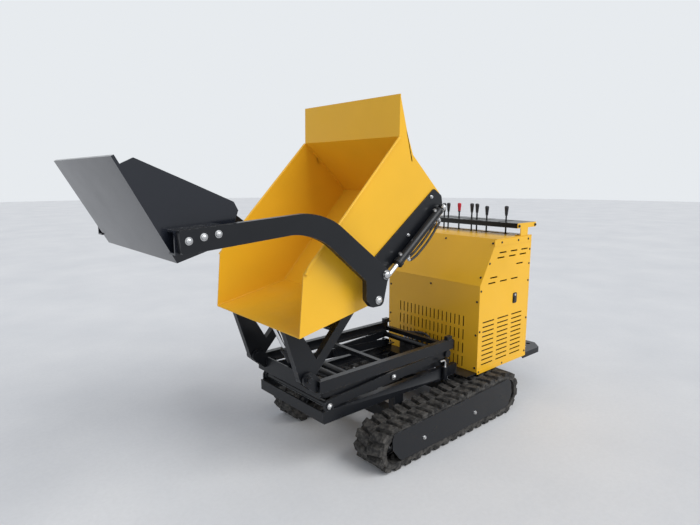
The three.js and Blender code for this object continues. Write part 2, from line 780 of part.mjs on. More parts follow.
function upperFrame() {
  const railInside = railOuterY - railFlange + 3;
  const { front, rear, low, high } = upperRail;
  const cross = (x) => box([x, x + 25], [-railInside, railInside], [low, low + 25]);
  const plateHalf = skipRailY[0] - 3;
  return union(
    rails(upperRail),
    cross(300), cross(rear + 10),
    box([front - 6, front], [-254.5, 254.5], [386, low + 27]),
    box([front - 6, front], [-plateHalf, plateHalf], [low + 26, high]),
    both(box([rear + 10, rear + 50], [232, 256], [high - 2, high + 19])),
    hingeLugs(), upperPivotEars(), tipCylinderSeat(),
  );
}

// ---------- Cylinders ----------

function barrelSolid({ barrel, bore }, radius, rodRadius, eyeHalfWidth, pinRadius) {
  const eyeRadius = radius - 3;
  const body = union(
    longBar(radius, [eyeRadius + 2, barrel - 18]),
    longBar(radius + 3, [barrel - 20, barrel]),
    longBar(radius * 0.5, [0, eyeRadius + 4]),
    crossBar({ x: 0, z: 0 }, eyeRadius, [-eyeHalfWidth, eyeHalfWidth]),
  );
  const hollow = longBar(rodRadius + pinFit, [bore, barrel + 5]);
  return body.subtract(union(hollow, crossBar({ x: 0, z: 0 }, pinRadius + pinFit, [-60, 60])));
}

function rodSolid({ rod }, length, radius, eyeRadius, eyeHalfWidth) {
  return union(
    longBar(radius, [rod, length]),
    crossBar({ x: length, z: 0 }, eyeRadius, [-eyeHalfWidth, eyeHalfWidth]),
  );
}

// Stands a piece that was made along +X on its base pin, pointing at the eye.
function aim(mesh, base, eye) {
  mesh.position.set(base.x, mesh.position.y, base.z);
  mesh.rotation.y = -Math.atan2(eye.z - base.z, eye.x - base.x);
}

function addCylinder(name, sizes, base, eye, half) {
  const length = Math.hypot(eye.x - base.x, eye.z - base.z);
  const barrel = add(name + '_cylinder_barrel', 'black',
    barrelSolid(sizes, bigBarrelRadius, bigRodRadius, half - seat, 10));
  const rod = add(name + '_cylinder_rod', 'chrome', rodSolid(sizes, length, bigRodRadius, 18, eyeHalfWidth - seat));
  aim(barrel, base, eye);
  aim(rod, base, eye);
}

// ---------- Skip ----------

const skipLine = [
  [skipLip.x, skipLip.z], [0, 0], [skipRear, 0], [skipRear, rimRearZ], [flapTop.x, flapTop.z],
];

function skip() {
  const outside = skipHalfWidth;
  const inside = skipHalfWidth - skipWall;
  const skin = sheet([...skipLine].reverse(), -skipWall, [-outside, outside]);
  const below = offsetLine([...skipLine].reverse(), -skipWall);
  const side = plate([
    ...below.slice(2), [skipLip.x, skipLip.z], [rimFront.x, rimFront.z, 12], [skipRear, rimRearZ],
    [flapTop.x, flapTop.z], [flapTop.x - 3, flapTop.z + 5, 3], [skipRear - 54, 366, 60], [skipRear - skipWall, 255],
  ], [inside, outside]);
  const hemLine = [[rimFront.x, rimFront.z], [skipRear, rimRearZ]];
  const hem = sheet(hemLine, 5, [inside, outside + 12]);
  return union(skin, both(union(side, hem)));
}

// A point below the chute, at a distance along it from the floor's crease.
const chuteLength = Math.hypot(skipLip.x, skipLip.z);
const chuteRun = { x: skipLip.x / chuteLength, z: skipLip.z / chuteLength };
function underChute(along, depth) {
  return [chuteRun.x * along + chuteRun.z * depth, chuteRun.z * along - chuteRun.x * depth];
}

const chuteSeat = skipWall + seat;
function skipFrame() {
  const { x, z } = hingeInSkip;
  const [inner, outer] = skipRailY;
  const top = -chuteSeat;
  const rail = box([skipRear + 40, x], skipRailY, [skipRailLow, top]);
  const leg = plate([
    [x + 20, z + 26], underChute(394, chuteSeat), underChute(331, chuteSeat), [x - 80, skipRailLow],
    [x, skipRailLow],
  ], skipRailY);
  const boss = crossBar({ x, z }, 30, skipRailY);
  const hole = crossBar({ x, z }, 12 + pinFit, [inner - 5, outer + 5]);
  const side = union(rail, leg, boss).subtract(hole);
  const crossings = [150, -250, skipRear + 60].map((at) =>
    box([at - 20, at + 20], [-inner - overlap, inner + overlap], [skipRailLow, top]));
  const chutePlate = plate([
    underChute(290, chuteSeat), underChute(390, chuteSeat), underChute(390, chuteSeat + 6),
    underChute(290, chuteSeat + 6),
  ], [-inner - overlap, inner + overlap]);
  return union(both(side), crossings, chutePlate, tipEyeLugs());
}

function tipEyeLugs() {
  const eye = tipCylinder.eyeInSkip;
  const along = eye.x * chuteRun.x + eye.z * chuteRun.z;
  const depth = eye.x * chuteRun.z - eye.z * chuteRun.x;
  const shape = [underChute(along - 34, chuteSeat + 2), [...underChute(along - 18, depth + 18), 14],
    [...underChute(along + 18, depth + 18), 14], underChute(along + 34, chuteSeat + 2)];
  const bolt = crossBar(eye, 12, [eyeHalfWidth + 8 - overlap, eyeHalfWidth + 15], 6);
  return both(union(plate(shape, [eyeHalfWidth + seat, eyeHalfWidth + 8]), bolt));
}

// ---------- Side plates, arms and shovel ----------

const sidePlateYs = [skipHalfWidth + seat, skipHalfWidth + seat + sidePlateThickness];
const loaderY = skipHalfWidth + loaderOffset;
const armYs = [skipHalfWidth + armOffset, skipHalfWidth + armOffset + armThickness];

function sidePlate() {
  const { x, z } = armPivot;
  const base = loaderBase;
  const shape = [
    [base.x - 46, z - 47, 12], [x - 57, z + 41, 40], [x + 10, z + 41, 34], [x + 45, z - 10, 26],
    [x - 10, z - 47, 30], [base.x + 20, base.z - 27], [base.x - 26, base.z - 25, 16], [base.x - 58, base.z + 18, 16],
  ];
  return union(
    plate(shape, sidePlateYs),
    crossBar(armPivot, 16, [sidePlateYs[1] - overlap, armYs[0] - seat]),
    crossBar(armPivot, 12.5, [sidePlateYs[1] - overlap, armYs[1] + 4]),
    crossBar(armPivot, 19, [armYs[1] + seat, armYs[1] + 9], 6),
    crossBar(base, 10, [sidePlateYs[1] - overlap, loaderY + 18], 16),
    crossBar(base, 14, [loaderY + 11, loaderY + 18], 6),
  );
}

// The arm's outline in the machine's frame at rest.
function arm() {
  const pivot = fromSkip(armPivot);
  const eye = fromSkip(loaderEye);
  const tip = shovelHeel;
  const shape = [
    [pivot.x - 28, pivot.z + 8, 20], [pivot.x + 332.5, pivot.z + 286.3, 278], [tip.x + 20, tip.z + 112, 10],
    [tip.x + 15, tip.z + 35, 10], [pivot.x + 382.3, pivot.z + 212.6, 262], [pivot.x + 114, pivot.z - 14, 15],
    [eye.x + 68, eye.z + 8, 20], [eye.x + 36, eye.z - 28, 16], [eye.x - 28, eye.z - 28, 24], [eye.x - 54, eye.z + 76, 30],
  ];
  const boltRow = [[-10, 78.7], [-61, 87.7], [-112, 93.7]];
  const bolts = boltRow.map(([dx, dz]) =>
    crossBar({ x: tip.x + dx, z: tip.z + dz }, 11, [armYs[1] - overlap, armYs[1] + 7], 6));
  const eyeStub = crossBar(eye, 13, [loaderY + 10 + seat, armYs[0] + overlap], 16);
  const eyeBolt = crossBar(eye, 16, [armYs[1] - overlap, armYs[1] + 8], 6);
  const hole = crossBar(pivot, 12.5 + pinFit, [armYs[0] - 5, armYs[1] + 5]);
  return union(plate(shape, armYs), bolts, eyeStub, eyeBolt).subtract(hole);
}

const shovelBackLine = [[shovelFloor, 0], [0, 0], [-34, 155], [-20, 215], [35, 277], [69, 277]];

function shovelShell() {
  const ys = [-shovelHalfWidth, shovelHalfWidth];
  const skin = sheet([...shovelBackLine], -shovelWall, ys);
  const edge = box([shovelFloor - 90, shovelFloor], ys, [0, 10]);
  const side = plate([
    [0, 0], [shovelFloor - 30, 0], [shovelFloor - 30, 8], [shovelFloor - 32, 55, 6], [199, 175, 20], [69, 277],
    [35, 277], [-20, 215], [-34, 155],
  ], [shovelHalfWidth - shovelWall, shovelHalfWidth]);
  return union(skin, edge, both(side));
}

// The channels that the arms bolt to, open towards the shovel, in the machine's frame at rest.
function shovelChannels() {
  const { x, z } = shovelHeel;
  const web = armYs[0] - seat;
  const wall = 6;
  const section = (inset) => [
    [x - 140, z + 122 - inset], [x + 25, z + 111 - inset], [x + 25, z + 33 + inset], [x - 140, z + 44 + inset],
  ];
  const block = plate(section(0), [shovelHalfWidth - overlap, web]);
  const hollow = plate(section(wall), [shovelHalfWidth - 2 * overlap, web - wall]);
  const ends = box([x - 150, x + 35], [shovelHalfWidth - 2 * overlap, web - wall], [z + 44 + wall, z + 111 - wall]);
  return both(block.subtract(union(hollow, ends)));
}

function shovel() {
  return union(moved(shovelShell(), shovelHeel, -shovelAngle), shovelChannels());
}

function loaderHose() {
  const route = new THREE.CatmullRomCurve3([
    [322, -21], [322, -34], [296, -48], [230, -56], [150, -54], [90, -44], [56, -34], [56, -21],
  ].map(([x, z]) => new THREE.Vector3(x, 0, z)));
  const section = new THREE.Shape().absarc(0, 0, 6, 0, 2 * Math.PI, false);
  const tube = solidFrom(new THREE.ExtrudeGeometry(section, { extrudePath: route, steps: 28, curveSegments: 4 }));
  const ferrules = [322, 56].map((x) => upright({ x, y: 0 }, 9, [-36, -loaderBarrelRadius - seat]));
  return union(tube, ferrules);
}

// ---------- Assembly ----------

function addTracks() {
  addPair('track_frame', 'black', trackFrame());
  addPair('track', 'rubber', track());
  addPair('idler', 'cast', idlerWheel());
  addPair('sprocket', 'cast', sprocketWheel());
  addPair('drive_motor', 'cast', driveMotor());
  addPair('track_cover', 'black', trackCover());
}

function addHood() {
  add('hood_front', 'yellow', hoodFrontPanel());
  addPair('hood_side', 'yellow', hoodSidePanel());
  add('hood_top', 'yellow', hoodTopPanel());
  add('hood_rear', 'yellow', hoodRearPanel());
  add('engine', 'cast', engine());
  add('control_stand', 'cast', controlStand());
  add('control_levers', 'knob', controlLevers());
  add('lever_gate', 'black', leverGate());
  addPair('gate_bracket', 'yellow', gateBracket());
}

function addLift() {
  add('lift_outer_arms', 'black', outerArms());
  add('lift_inner_arms', 'black', innerArms());
  add('upper_frame', 'black', upperFrame());
  addCylinder('lift', liftCylinder, liftCylinder.base, onInnerArm(crossTubeAt[0], -liftEyeDrop), 28);
  addCylinder('tip', tipCylinder, tipCylinder.base, fromSkip(tipCylinder.eyeInSkip), 30);
}

function addSkip() {
  const origin = fromSkip({ x: 0, z: 0 });
  skipGroup.position.set(origin.x, 0, origin.z);
  skipGroup.rotation.y = tilt;
  add('skip', 'yellow', skip(), skipGroup);
  add('skip_frame', 'black', skipFrame(), skipGroup);
  addPair('side_plate', 'black', sidePlate(), skipGroup);
}

function addLoader() {
  addPair('arm', 'black', arm());
  add('shovel', 'shovelGrey', shovel());
  const base = fromSkip(loaderBase);
  const eye = fromSkip(loaderEye);
  const length = Math.hypot(eye.x - base.x, eye.z - base.z);
  for (const [side, y] of [['left', loaderY], ['right', -loaderY]]) {
    const pieces = [
      add(side + '_loader_barrel', 'black', barrelSolid(loaderCylinder, loaderBarrelRadius, loaderRodRadius, 10, 10)),
      add(side + '_loader_rod', 'chrome', rodSolid(loaderCylinder, length, loaderRodRadius, 18, 10)),
      add(side + '_loader_hose', 'hose', loaderHose()),
    ];
    for (const mesh of pieces) {
      mesh.position.y = y;
      aim(mesh, base, eye);
    }
  }
}

add('chassis', 'black', chassis());
addPair('lock_pin', 'chrome', lockPinSolid());
add('footboard', 'black', footboard());
add('hydraulic_manifold', 'steel', hydraulicManifold());
addTracks();
addHood();
addLift();
addSkip();
addLoader();

// The origin is under the middle of the machine's box.
const group = new THREE.Group();
group.add(machine);
const bounds = new THREE.Box3().setFromObject(machine);
machine.position.x = -(bounds.min.x + bounds.max.x) / 2;

export default group;
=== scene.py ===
"""A tracked site dumper's finish: skip, scissor lift, loading shovel, hood, levers and rubber tracks."""
import json
import math
from collections import namedtuple

import bmesh
import bpy
from mathutils import Matrix, Vector


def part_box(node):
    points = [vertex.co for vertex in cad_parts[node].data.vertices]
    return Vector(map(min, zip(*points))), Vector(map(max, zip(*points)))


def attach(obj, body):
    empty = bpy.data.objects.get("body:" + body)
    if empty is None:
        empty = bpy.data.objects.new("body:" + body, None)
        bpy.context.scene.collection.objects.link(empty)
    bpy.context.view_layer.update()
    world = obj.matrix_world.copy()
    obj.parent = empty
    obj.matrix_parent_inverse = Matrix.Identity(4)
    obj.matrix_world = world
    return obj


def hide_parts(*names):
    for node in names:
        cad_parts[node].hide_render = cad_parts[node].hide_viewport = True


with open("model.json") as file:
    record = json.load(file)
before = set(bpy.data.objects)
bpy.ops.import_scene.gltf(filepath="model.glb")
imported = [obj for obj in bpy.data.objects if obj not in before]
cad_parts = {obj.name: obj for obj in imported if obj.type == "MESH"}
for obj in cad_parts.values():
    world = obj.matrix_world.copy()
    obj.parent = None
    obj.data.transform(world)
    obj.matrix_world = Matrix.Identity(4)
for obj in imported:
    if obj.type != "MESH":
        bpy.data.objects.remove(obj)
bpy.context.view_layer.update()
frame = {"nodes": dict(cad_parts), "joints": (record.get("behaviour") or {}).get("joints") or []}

# ---------- Camera ----------

CAMERA_PLACE = (1.8237, 1.976, 1.363)
CAMERA_YAW = math.radians(228.97)
CAMERA_PITCH = math.radians(-9.52)
CAMERA_LENS = 26.78
SENSOR_WIDTH = 36  # millimetres, as the lens is


def set_camera():
    camera = bpy.data.cameras.new("camera")
    camera.sensor_width = SENSOR_WIDTH
    camera.lens = CAMERA_LENS
    holder = bpy.data.objects.new("camera", camera)
    ahead = Vector((math.cos(CAMERA_YAW), math.sin(CAMERA_YAW), math.tan(CAMERA_PITCH)))
    holder.location = CAMERA_PLACE
    holder.rotation_euler = ahead.to_track_quat("-Z", "Y").to_euler()
    bpy.context.scene.collection.objects.link(holder)
    bpy.context.scene.camera = holder


set_camera()

# ---------- Places ----------
# Shapes are made in millimetres in the machine's own frame: X forward from the middle of the tracks,
# Y to the left and Z up.

belt_low, belt_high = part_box("left_track")
MIDDLE_X = (belt_low.x + belt_high.x) / 2
TO_ROW = Matrix.Translation((MIDDLE_X, 0, 0)) @ Matrix.Scale(0.001, 4)
FROM_ROW = TO_ROW.inverted()
JOINTS = {joint["name"]: joint for joint in frame["joints"]}


def box_of(node):
    """The lowest and highest corner of a CAD node, in the machine's millimetres."""
    low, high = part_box(node)
    return FROM_ROW @ low, FROM_ROW @ high


def pivot(joint):
    return FROM_ROW @ Vector(JOINTS[joint]["pos_m"])


def slide_direction(joint):
    return Vector(JOINTS[joint]["axis"]).normalized()


def reach(node, base, direction):
    """How far a node reaches from a point, along a direction."""
    return max((FROM_ROW @ vert.co - base).dot(direction) for vert in frame["nodes"][node].data.vertices)


def facing(point, direction):
    """A place whose Z looks along the direction."""
    return Matrix.Translation(point) @ Vector(direction).to_track_quat("Z", "Y").to_matrix().to_4x4()


def to_left(x, y, z):
    return facing((x, y, z), (0, 1, 0))


HINGE_IN_SKIP = Vector((422, 0, -6.3))
REST_TILT = math.radians(-JOINTS["tip"]["range_deg"][0])
SKIP = (Matrix.Translation(pivot("tip")) @ Matrix.Rotation(REST_TILT, 4, "Y")
        @ Matrix.Translation(-HINGE_IN_SKIP))
SHOVEL_HEEL = Vector((1415, 0, 1081.3))

# ---------- Materials ----------


def node(tree, kind, inputs=None, **settings):
    """A shader node. An input given a socket is linked to it, and any other is set."""
    made = tree.nodes.new("ShaderNode" + kind)
    for key, value in settings.items():
        setattr(made, key, value)
    for key, value in (inputs or {}).items():
        if isinstance(value, bpy.types.NodeSocket):
            tree.links.new(value, made.inputs[key])
        else:
            made.inputs[key].default_value = value
    return made


def noise(tree, scale, detail=3.0, roughness=0.5):
    place = node(tree, "TexCoord").outputs["Object"]
    inputs = {"Vector": place, "Scale": scale, "Detail": detail, "Roughness": roughness}
    return node(tree, "TexNoise", inputs).outputs["Fac"]


def spread(tree, value, low, high, to_low=0.0, to_high=1.0):
    """The value, with its range from low to high moved to another."""
    inputs = {"Value": value, "From Min": low, "From Max": high, "To Min": to_low, "To Max": to_high}
    return node(tree, "MapRange", inputs).outputs["Result"]


def times(tree, first, second):
    return node(tree, "Math", {0: first, 1: second}, operation="MULTIPLY").outputs[0]


def either(tree, first, second):
    return node(tree, "Math", {0: first, 1: second}, operation="MAXIMUM").outputs[0]


def blend_colour(tree, share, first, second):
    inputs = {"Factor": share, 6: first, 7: second}
    return node(tree, "Mix", inputs, data_type="RGBA").outputs[2]


def tone(colour, factor=1.0):
    """The colour made lighter or darker, with its alpha."""
    return (*[min(channel * factor, 1.0) for channel in colour], 1.0)


def edge_share(tree, radius):
    """1 on the outer edges, within the radius in metres, and 0 on the flats."""
    flat, edge = 0.99, 0.86
    rounded = node(tree, "Bevel", {"Radius": radius}, samples=6).outputs["Normal"]
    true = node(tree, "NewGeometry").outputs["Normal"]
    match = node(tree, "VectorMath", {0: rounded, 1: true}, operation="DOT_PRODUCT").outputs["Value"]
    return spread(tree, match, flat, edge)


def up_share(tree):
    """1 where the surface looks up, and 0 on walls and undersides."""
    steep, level = 0.55, 1.0
    true = node(tree, "NewGeometry").outputs["Normal"]
    height = node(tree, "SeparateXYZ", {0: true}).outputs["Z"]
    return spread(tree, height, steep, level)


def bump(tree, height, strength, distance, under=None):
    inputs = {"Height": height, "Strength": strength, "Distance": distance}
    if under is not None:
        inputs["Normal"] = under
    return node(tree, "Bump", inputs).outputs["Normal"]


def surface(name, build):
    """A material whose shader inputs come from build(tree)."""
    material = bpy.data.materials.new(name)
    material.use_nodes = True
    tree = material.node_tree
    tree.nodes.clear()
    shader = node(tree, "BsdfPrincipled", build(tree))
    node(tree, "OutputMaterial", {"Surface": shader.outputs[0]})
    return material


DUST = (0.46, 0.43, 0.385, 1.0)


def paint(name, colour, roughness, edge_wear_and_highlight, edge_reach, dust, coat, peel=0.10):
    """Sprayed paint: slow shifts of tone, orange peel, rubbed edges that are also a painted highlight where
    the edge colour is lighter than the paint, and a little dust on top.
    """

    def build(tree):
        broad = spread(tree, noise(tree, 2.2), 0.35, 0.65)
        body = blend_colour(tree, broad, tone(colour, 0.95), tone(colour, 1.04))
        patches = spread(tree, noise(tree, 14, detail=6), 0.42, 0.75, 0.0, dust)
        settled = times(tree, up_share(tree), patches)
        dusty = blend_colour(tree, settled, body, DUST)
        flakes = spread(tree, noise(tree, 60, detail=5), 0.5, 0.6)
        # Edge colour: worn paint, and on the black and shovel paints a lighter colour that is a painted
        # highlight along the edges.
        worn_and_highlit_edges = times(tree, edge_share(tree, edge_reach), flakes)
        wiped = noise(tree, 7, detail=5, roughness=0.65)
        smear = spread(tree, wiped, 0.35, 0.7, roughness * 0.82, roughness * 1.25)
        grain = bump(tree, noise(tree, 420, detail=2), peel, 0.0006)
        return {
            "Base Color": blend_colour(tree, worn_and_highlit_edges, dusty, edge_wear_and_highlight),
            "Roughness": either(tree, smear, times(tree, settled, 1.6)),
            "Normal": bump(tree, noise(tree, 3.5, detail=2), 0.05, 0.01, grain),
            "Specular IOR Level": 0.30,
            "Coat Weight": coat,
            "Coat Roughness": 0.12,
        }

    return surface(name, build)


def rubber(name, colour, dust, grain_scale, roughness):
    """Moulded rubber: a rough grain, rubbed edges and dust in its hollows."""

    def build(tree):
        settled = spread(tree, noise(tree, 38, detail=8, roughness=0.7), 0.42, 0.68, 0.0, dust)
        shade = spread(tree, noise(tree, 6), 0.3, 0.7)
        body = blend_colour(tree, shade, tone(colour, 0.8), tone(colour, 1.25))
        scuffs = spread(tree, noise(tree, 90, detail=4), 0.35, 0.65, 0.0, 0.5)
        rubbed = times(tree, edge_share(tree, 0.003), scuffs)
        worn = blend_colour(tree, rubbed, body, tone(colour, 3.2))
        grain = bump(tree, noise(tree, grain_scale, detail=6, roughness=0.7), 0.35, 0.001)
        smear = noise(tree, 20, detail=4)
        return {
            "Base Color": blend_colour(tree, settled, worn, DUST),
            "Roughness": spread(tree, smear, 0.3, 0.7, roughness - 0.08, roughness + 0.08),
            "Normal": bump(tree, noise(tree, 26, detail=4), 0.2, 0.004, grain),
            "Specular IOR Level": 0.35,
        }

    return surface(name, build)


def metal(name, colour, roughness, grain_scale, grain, stain):
    """Bare metal: a fine grain, and patches that are darker by the stain."""

    def build(tree):
        marks = spread(tree, noise(tree, 30, detail=5, roughness=0.6), 0.35, 0.7)
        smear = noise(tree, 55, detail=4)
        return {
            "Base Color": blend_colour(tree, marks, tone(colour), tone(colour, stain)),
            "Roughness": spread(tree, smear, 0.3, 0.7, roughness * 0.75, roughness * 1.35),
            "Metallic": 1.0,
            "Normal": bump(tree, noise(tree, grain_scale, detail=4), grain, 0.0008),
        }

    return surface(name, build)


def plastic(name, colour, roughness):
    """Moulded plastic with a fine texture."""

    def build(tree):
        shade = spread(tree, noise(tree, 18), 0.3, 0.7)
        smear = noise(tree, 40, detail=4)
        return {
            "Base Color": blend_colour(tree, shade, tone(colour, 0.9), tone(colour, 1.15)),
            "Roughness": spread(tree, smear, 0.3, 0.7, roughness - 0.07, roughness + 0.07),
            "Normal": bump(tree, noise(tree, 700, detail=2), 0.2, 0.0004),
        }

    return surface(name, build)


YELLOW = paint("yellow_paint", (0.83, 0.455, 0.022), roughness=0.38, edge_wear_and_highlight=(0.60, 0.31, 0.03, 1.0),
               edge_reach=0.0016, dust=0.06, coat=0.15)
# The black and shovel paints' lighter edge colour is partly wear and partly a painted highlight on their
# edges.
BLACK = paint("black_paint", (0.0060, 0.0070, 0.0092), roughness=0.33, edge_wear_and_highlight=(0.12, 0.122, 0.128, 1.0),
              edge_reach=0.0018, dust=0.06, coat=0.05)
SHOVEL_GREY = paint("shovel_paint", (0.010, 0.012, 0.0175), roughness=0.20, edge_wear_and_highlight=(0.09, 0.092, 0.10, 1.0),
                    edge_reach=0.002, dust=0.05, coat=0.3, peel=0.03)
TRACK_RUBBER = rubber("track_rubber", (0.0115, 0.0110, 0.0108), dust=0.17, grain_scale=520, roughness=0.84)
HOSE = rubber("hose_rubber", (0.012, 0.012, 0.0125), dust=0.10, grain_scale=700, roughness=0.55)
CAST = metal("cast_metal", (0.13, 0.13, 0.135), roughness=0.5, grain_scale=300, grain=0.5, stain=0.6)
CHROME = metal("rod_chrome", (0.80, 0.81, 0.83), roughness=0.12, grain_scale=900, grain=0.03, stain=0.93)
ZINC = metal("zinc_steel", (0.66, 0.665, 0.67), roughness=0.27, grain_scale=600, grain=0.12, stain=0.78)
KNOB = plastic("knob_plastic", (0.012, 0.013, 0.016), roughness=0.36)
RED_KNOB = plastic("red_knob_plastic", (0.55, 0.012, 0.03), roughness=0.35)

# ---------- Shapes ----------

CREASE = math.radians(31)  # an edge that turns by more than this is rounded
SHARP = math.radians(50)  # and one that turns by more than this is shaded as a corner
FOLD = math.radians(8)  # the least turn of a bend between two broad flats
BROAD = 24  # how wide a flat is at least, beside its fold
MERGE = 1e-3


def stamp(bm, shape, *places):
    """Copies a shape into bm at each place, and lets the shape go."""
    mesh = bpy.data.meshes.new("stamp")
    shape.to_mesh(mesh)
    for place in places:
        placed = mesh.copy()
        placed.transform(place)
        bm.from_mesh(placed)
        bpy.data.meshes.remove(placed)
    bpy.data.meshes.remove(mesh)
    shape.free()


def flip(bm):
    """The mirror image across the machine's middle."""
    bmesh.ops.scale(bm, vec=(1, -1, 1), verts=bm.verts)
    bmesh.ops.reverse_faces(bm, faces=bm.faces)


def is_fold(edge):
    """Whether a slight angle is a bend between two broad flats, not one step of a round stretch."""
    length = edge.calc_length()
    return (edge.calc_face_angle() > FOLD and length > 3 * BROAD
            and all(face.calc_area() > BROAD * length for face in edge.link_faces))


def soften(bm, width, segments=2):
    """Rounds the sharp edges and the folds."""
    sharp = [edge for edge in bm.edges if edge.is_manifold and edge.calc_length() > 2.2 * width
             and (edge.calc_face_angle() > CREASE or is_fold(edge))]
    bmesh.ops.bevel(bm, geom=sharp, offset=width, offset_type="OFFSET", affect="EDGES", segments=segments,
                    profile=0.5, clamp_overlap=True, material=-1)


def block(bm, low, high, rounding=0.0):
    shape = bmesh.new()
    size = Vector(high) - Vector(low)
    middle = (Vector(high) + Vector(low)) / 2
    bmesh.ops.create_cube(shape, size=1, matrix=Matrix.Translation(middle) @ Matrix.Diagonal((*size, 1)))
    if rounding:
        soften(shape, rounding)
    stamp(bm, shape, Matrix())


def turned(bm, profile, place, steps=32):
    """A round shape from (radius, height) points, about the place's Z."""
    shape = bmesh.new()
    verts = [shape.verts.new((radius, 0, height)) for radius, height in profile]
    edges = [shape.edges.new(ends) for ends in zip(verts, verts[1:])]
    bmesh.ops.spin(shape, geom=verts + edges, cent=(0, 0, 0), axis=(0, 0, 1), dvec=(0, 0, 0),
                   angle=2 * math.pi, steps=steps, use_merge=True)
    bmesh.ops.remove_doubles(shape, verts=shape.verts, dist=MERGE)
    bmesh.ops.recalc_face_normals(shape, faces=shape.faces)
    stamp(bm, shape, place)


def bar(bm, start, end, radius, chamfer=1.0, steps=32):
    start, end = Vector(start), Vector(end)
    length = (end - start).length
    profile = [(0, 0), (radius - chamfer, 0), (radius, chamfer), (radius, length - chamfer),
               (radius - chamfer, length), (0, length)]
    turned(bm, profile, facing(start, end - start), steps)


def flat_outline(bm, corners, steps):
    """One flat face in the X-Z plane, from corners (x, z, radius)."""
    verts = [bm.verts.new((x, 0, z)) for x, z, _ in corners]
    bm.faces.new(verts)
    count = len(corners)
    for i, (x, z, radius) in enumerate(corners):
        if radius == 0:
            continue
        back = Vector(corners[i - 1][:2]) - Vector((x, z))
        ahead = Vector(corners[(i + 1) % count][:2]) - Vector((x, z))
        setback = radius / math.tan(back.angle(ahead) / 2)
        bmesh.ops.bevel(bm, geom=[verts[i]], offset=setback, offset_type="OFFSET", affect="VERTICES",
                        segments=steps, profile=0.5, clamp_overlap=False, material=-1)


def plate(bm, corners, y0, y1, rounding, steps=8):
    """A flat outline given its thickness across the machine."""
    shape = bmesh.new()
    flat_outline(shape, corners, steps)
    thick = bmesh.ops.extrude_face_region(shape, geom=shape.faces[:])
    raised = [item for item in thick["geom"] if isinstance(item, bmesh.types.BMVert)]
    bmesh.ops.translate(shape, vec=(0, y1 - y0, 0), verts=raised)
    bmesh.ops.translate(shape, vec=(0, y0, 0), verts=shape.verts)
    bmesh.ops.recalc_face_normals(shape, faces=shape.faces)
    soften(shape, rounding)
    stamp(bm, shape, Matrix())


def tube(bm, points, radius, place=Matrix(), sides=4):
    """A round tube along a smooth line through the points."""
    curve = bpy.data.curves.new("route", "CURVE")
    curve.dimensions = "3D"
    curve.bevel_depth = radius
    curve.bevel_resolution = sides
    curve.use_fill_caps = True
    spline = curve.splines.new("BEZIER")
    spline.resolution_u = 8
    spline.bezier_points.add(len(points) - 1)
    for knot, point in zip(spline.bezier_points, points):
        knot.co = point
        knot.handle_left_type = knot.handle_right_type = "AUTO"
    holder = bpy.data.objects.new("route", curve)
    mesh = bpy.data.meshes.new_from_object(holder)
    shape = bmesh.new()
    shape.from_mesh(mesh)
    bmesh.ops.remove_doubles(shape, verts=shape.verts, dist=MERGE)
    bmesh.ops.recalc_face_normals(shape, faces=shape.faces)
    bpy.data.objects.remove(holder)
    bpy.data.curves.remove(curve)
    bpy.data.meshes.remove(mesh)
    stamp(bm, shape, place)


def bead(bm, start, end, radius, place=Matrix()):
    """A weld bead with its ripples."""
    start, end = Vector(start), Vector(end)
    length = (end - start).length
    ripples = max(4, round(length / (radius * 1.1)))
    profile = [(0, 0)]
    for i in range(ripples):
        at = length * i / ripples
        profile += [(radius * 0.82, at + 0.2), (radius, at + length / ripples * 0.55)]
    profile += [(radius * 0.7, length - 0.2), (0, length)]
    turned(bm, profile, place @ facing(start, end - start), 8)


SINK = 0.2  # how far a bolt's washer goes into its seat
# Profiles of (radius, height) at a size of 1.
WASHER = ((0, 0), (1.06, 0), (1.1, 0.05), (1.1, 0.15), (1.06, 0.2), (0, 0.2))
CROWN = ((0, 0), (0.74, 0.5), (0.72, 0.7), (0.3, 0.72), (0.26, 0.68), (0, 0.68))
BUTTON = ((0, 0), (1, 0), (1, 0.12), (0.93, 0.32), (0.72, 0.52), (0.42, 0.6), (0.38, 0.55), (0.36, 0.2),
          (0, 0.2))
DOME = ((0, 0), (1.22, 0), (1.25, 0.06), (1.22, 0.2), (1, 0.2), (0.98, 0.42), (0.84, 0.68), (0.55, 0.86),
        (0.2, 0.92), (0, 0.92))


def scaled(profile, size, rise=0.0):
    return [(radius * size, rise + height * size) for radius, height in profile]


def hex_bolt(bm, place, size, washer=True):
    """A hexagon head on its washer, with the bolt's own diameter as its size."""
    seat = 0.0
    if washer:
        seat = 0.2 * size
        turned(bm, scaled(WASHER, size), place, 28)
    head = bmesh.new()
    across = 0.92 * size
    bmesh.ops.create_cone(head, cap_ends=True, segments=6, radius1=across, radius2=across,
                          depth=0.66 * size, matrix=Matrix.Translation((0, 0, seat + 0.33 * size)))
    soften(head, 0.07 * size)
    stamp(bm, head, place)
    turned(bm, scaled(CROWN, size, seat), place, 24)


def button_screw(bm, place, radius):
    """A domed screw head with a socket."""
    turned(bm, scaled(BUTTON, radius), place, 18)


def dome_nut(bm, place, radius):
    """A round-topped bolt on a washer."""
    turned(bm, scaled(DOME, radius), place, 28)


# ---------- Pieces ----------


def piece(name, build, finishes, body, replaces=(), mirrored=False):
    """Has build(bm) make a shape, brings it into the row's metres, and makes it ride on its body."""
    bm = bmesh.new()
    build(bm)
    if mirrored:
        flip(bm)
    bmesh.ops.triangulate(bm, faces=[face for face in bm.faces if len(face.verts) > 4])
    for face in bm.faces:
        face.smooth = True
    for edge in bm.edges:
        edge.smooth = edge.is_manifold and edge.calc_face_angle() < SHARP
    bm.transform(TO_ROW)
    mesh = bpy.data.meshes.new(name)
    bm.to_mesh(mesh)
    bm.free()
    for finish in finishes:
        mesh.materials.append(finish)
    made = bpy.data.objects.new(name, mesh)
    bpy.context.scene.collection.objects.link(made)
    shading = made.modifiers.new("shading", "WEIGHTED_NORMAL")
    shading.keep_sharp = True
    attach(made, body)
    if replaces:
        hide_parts(*replaces)


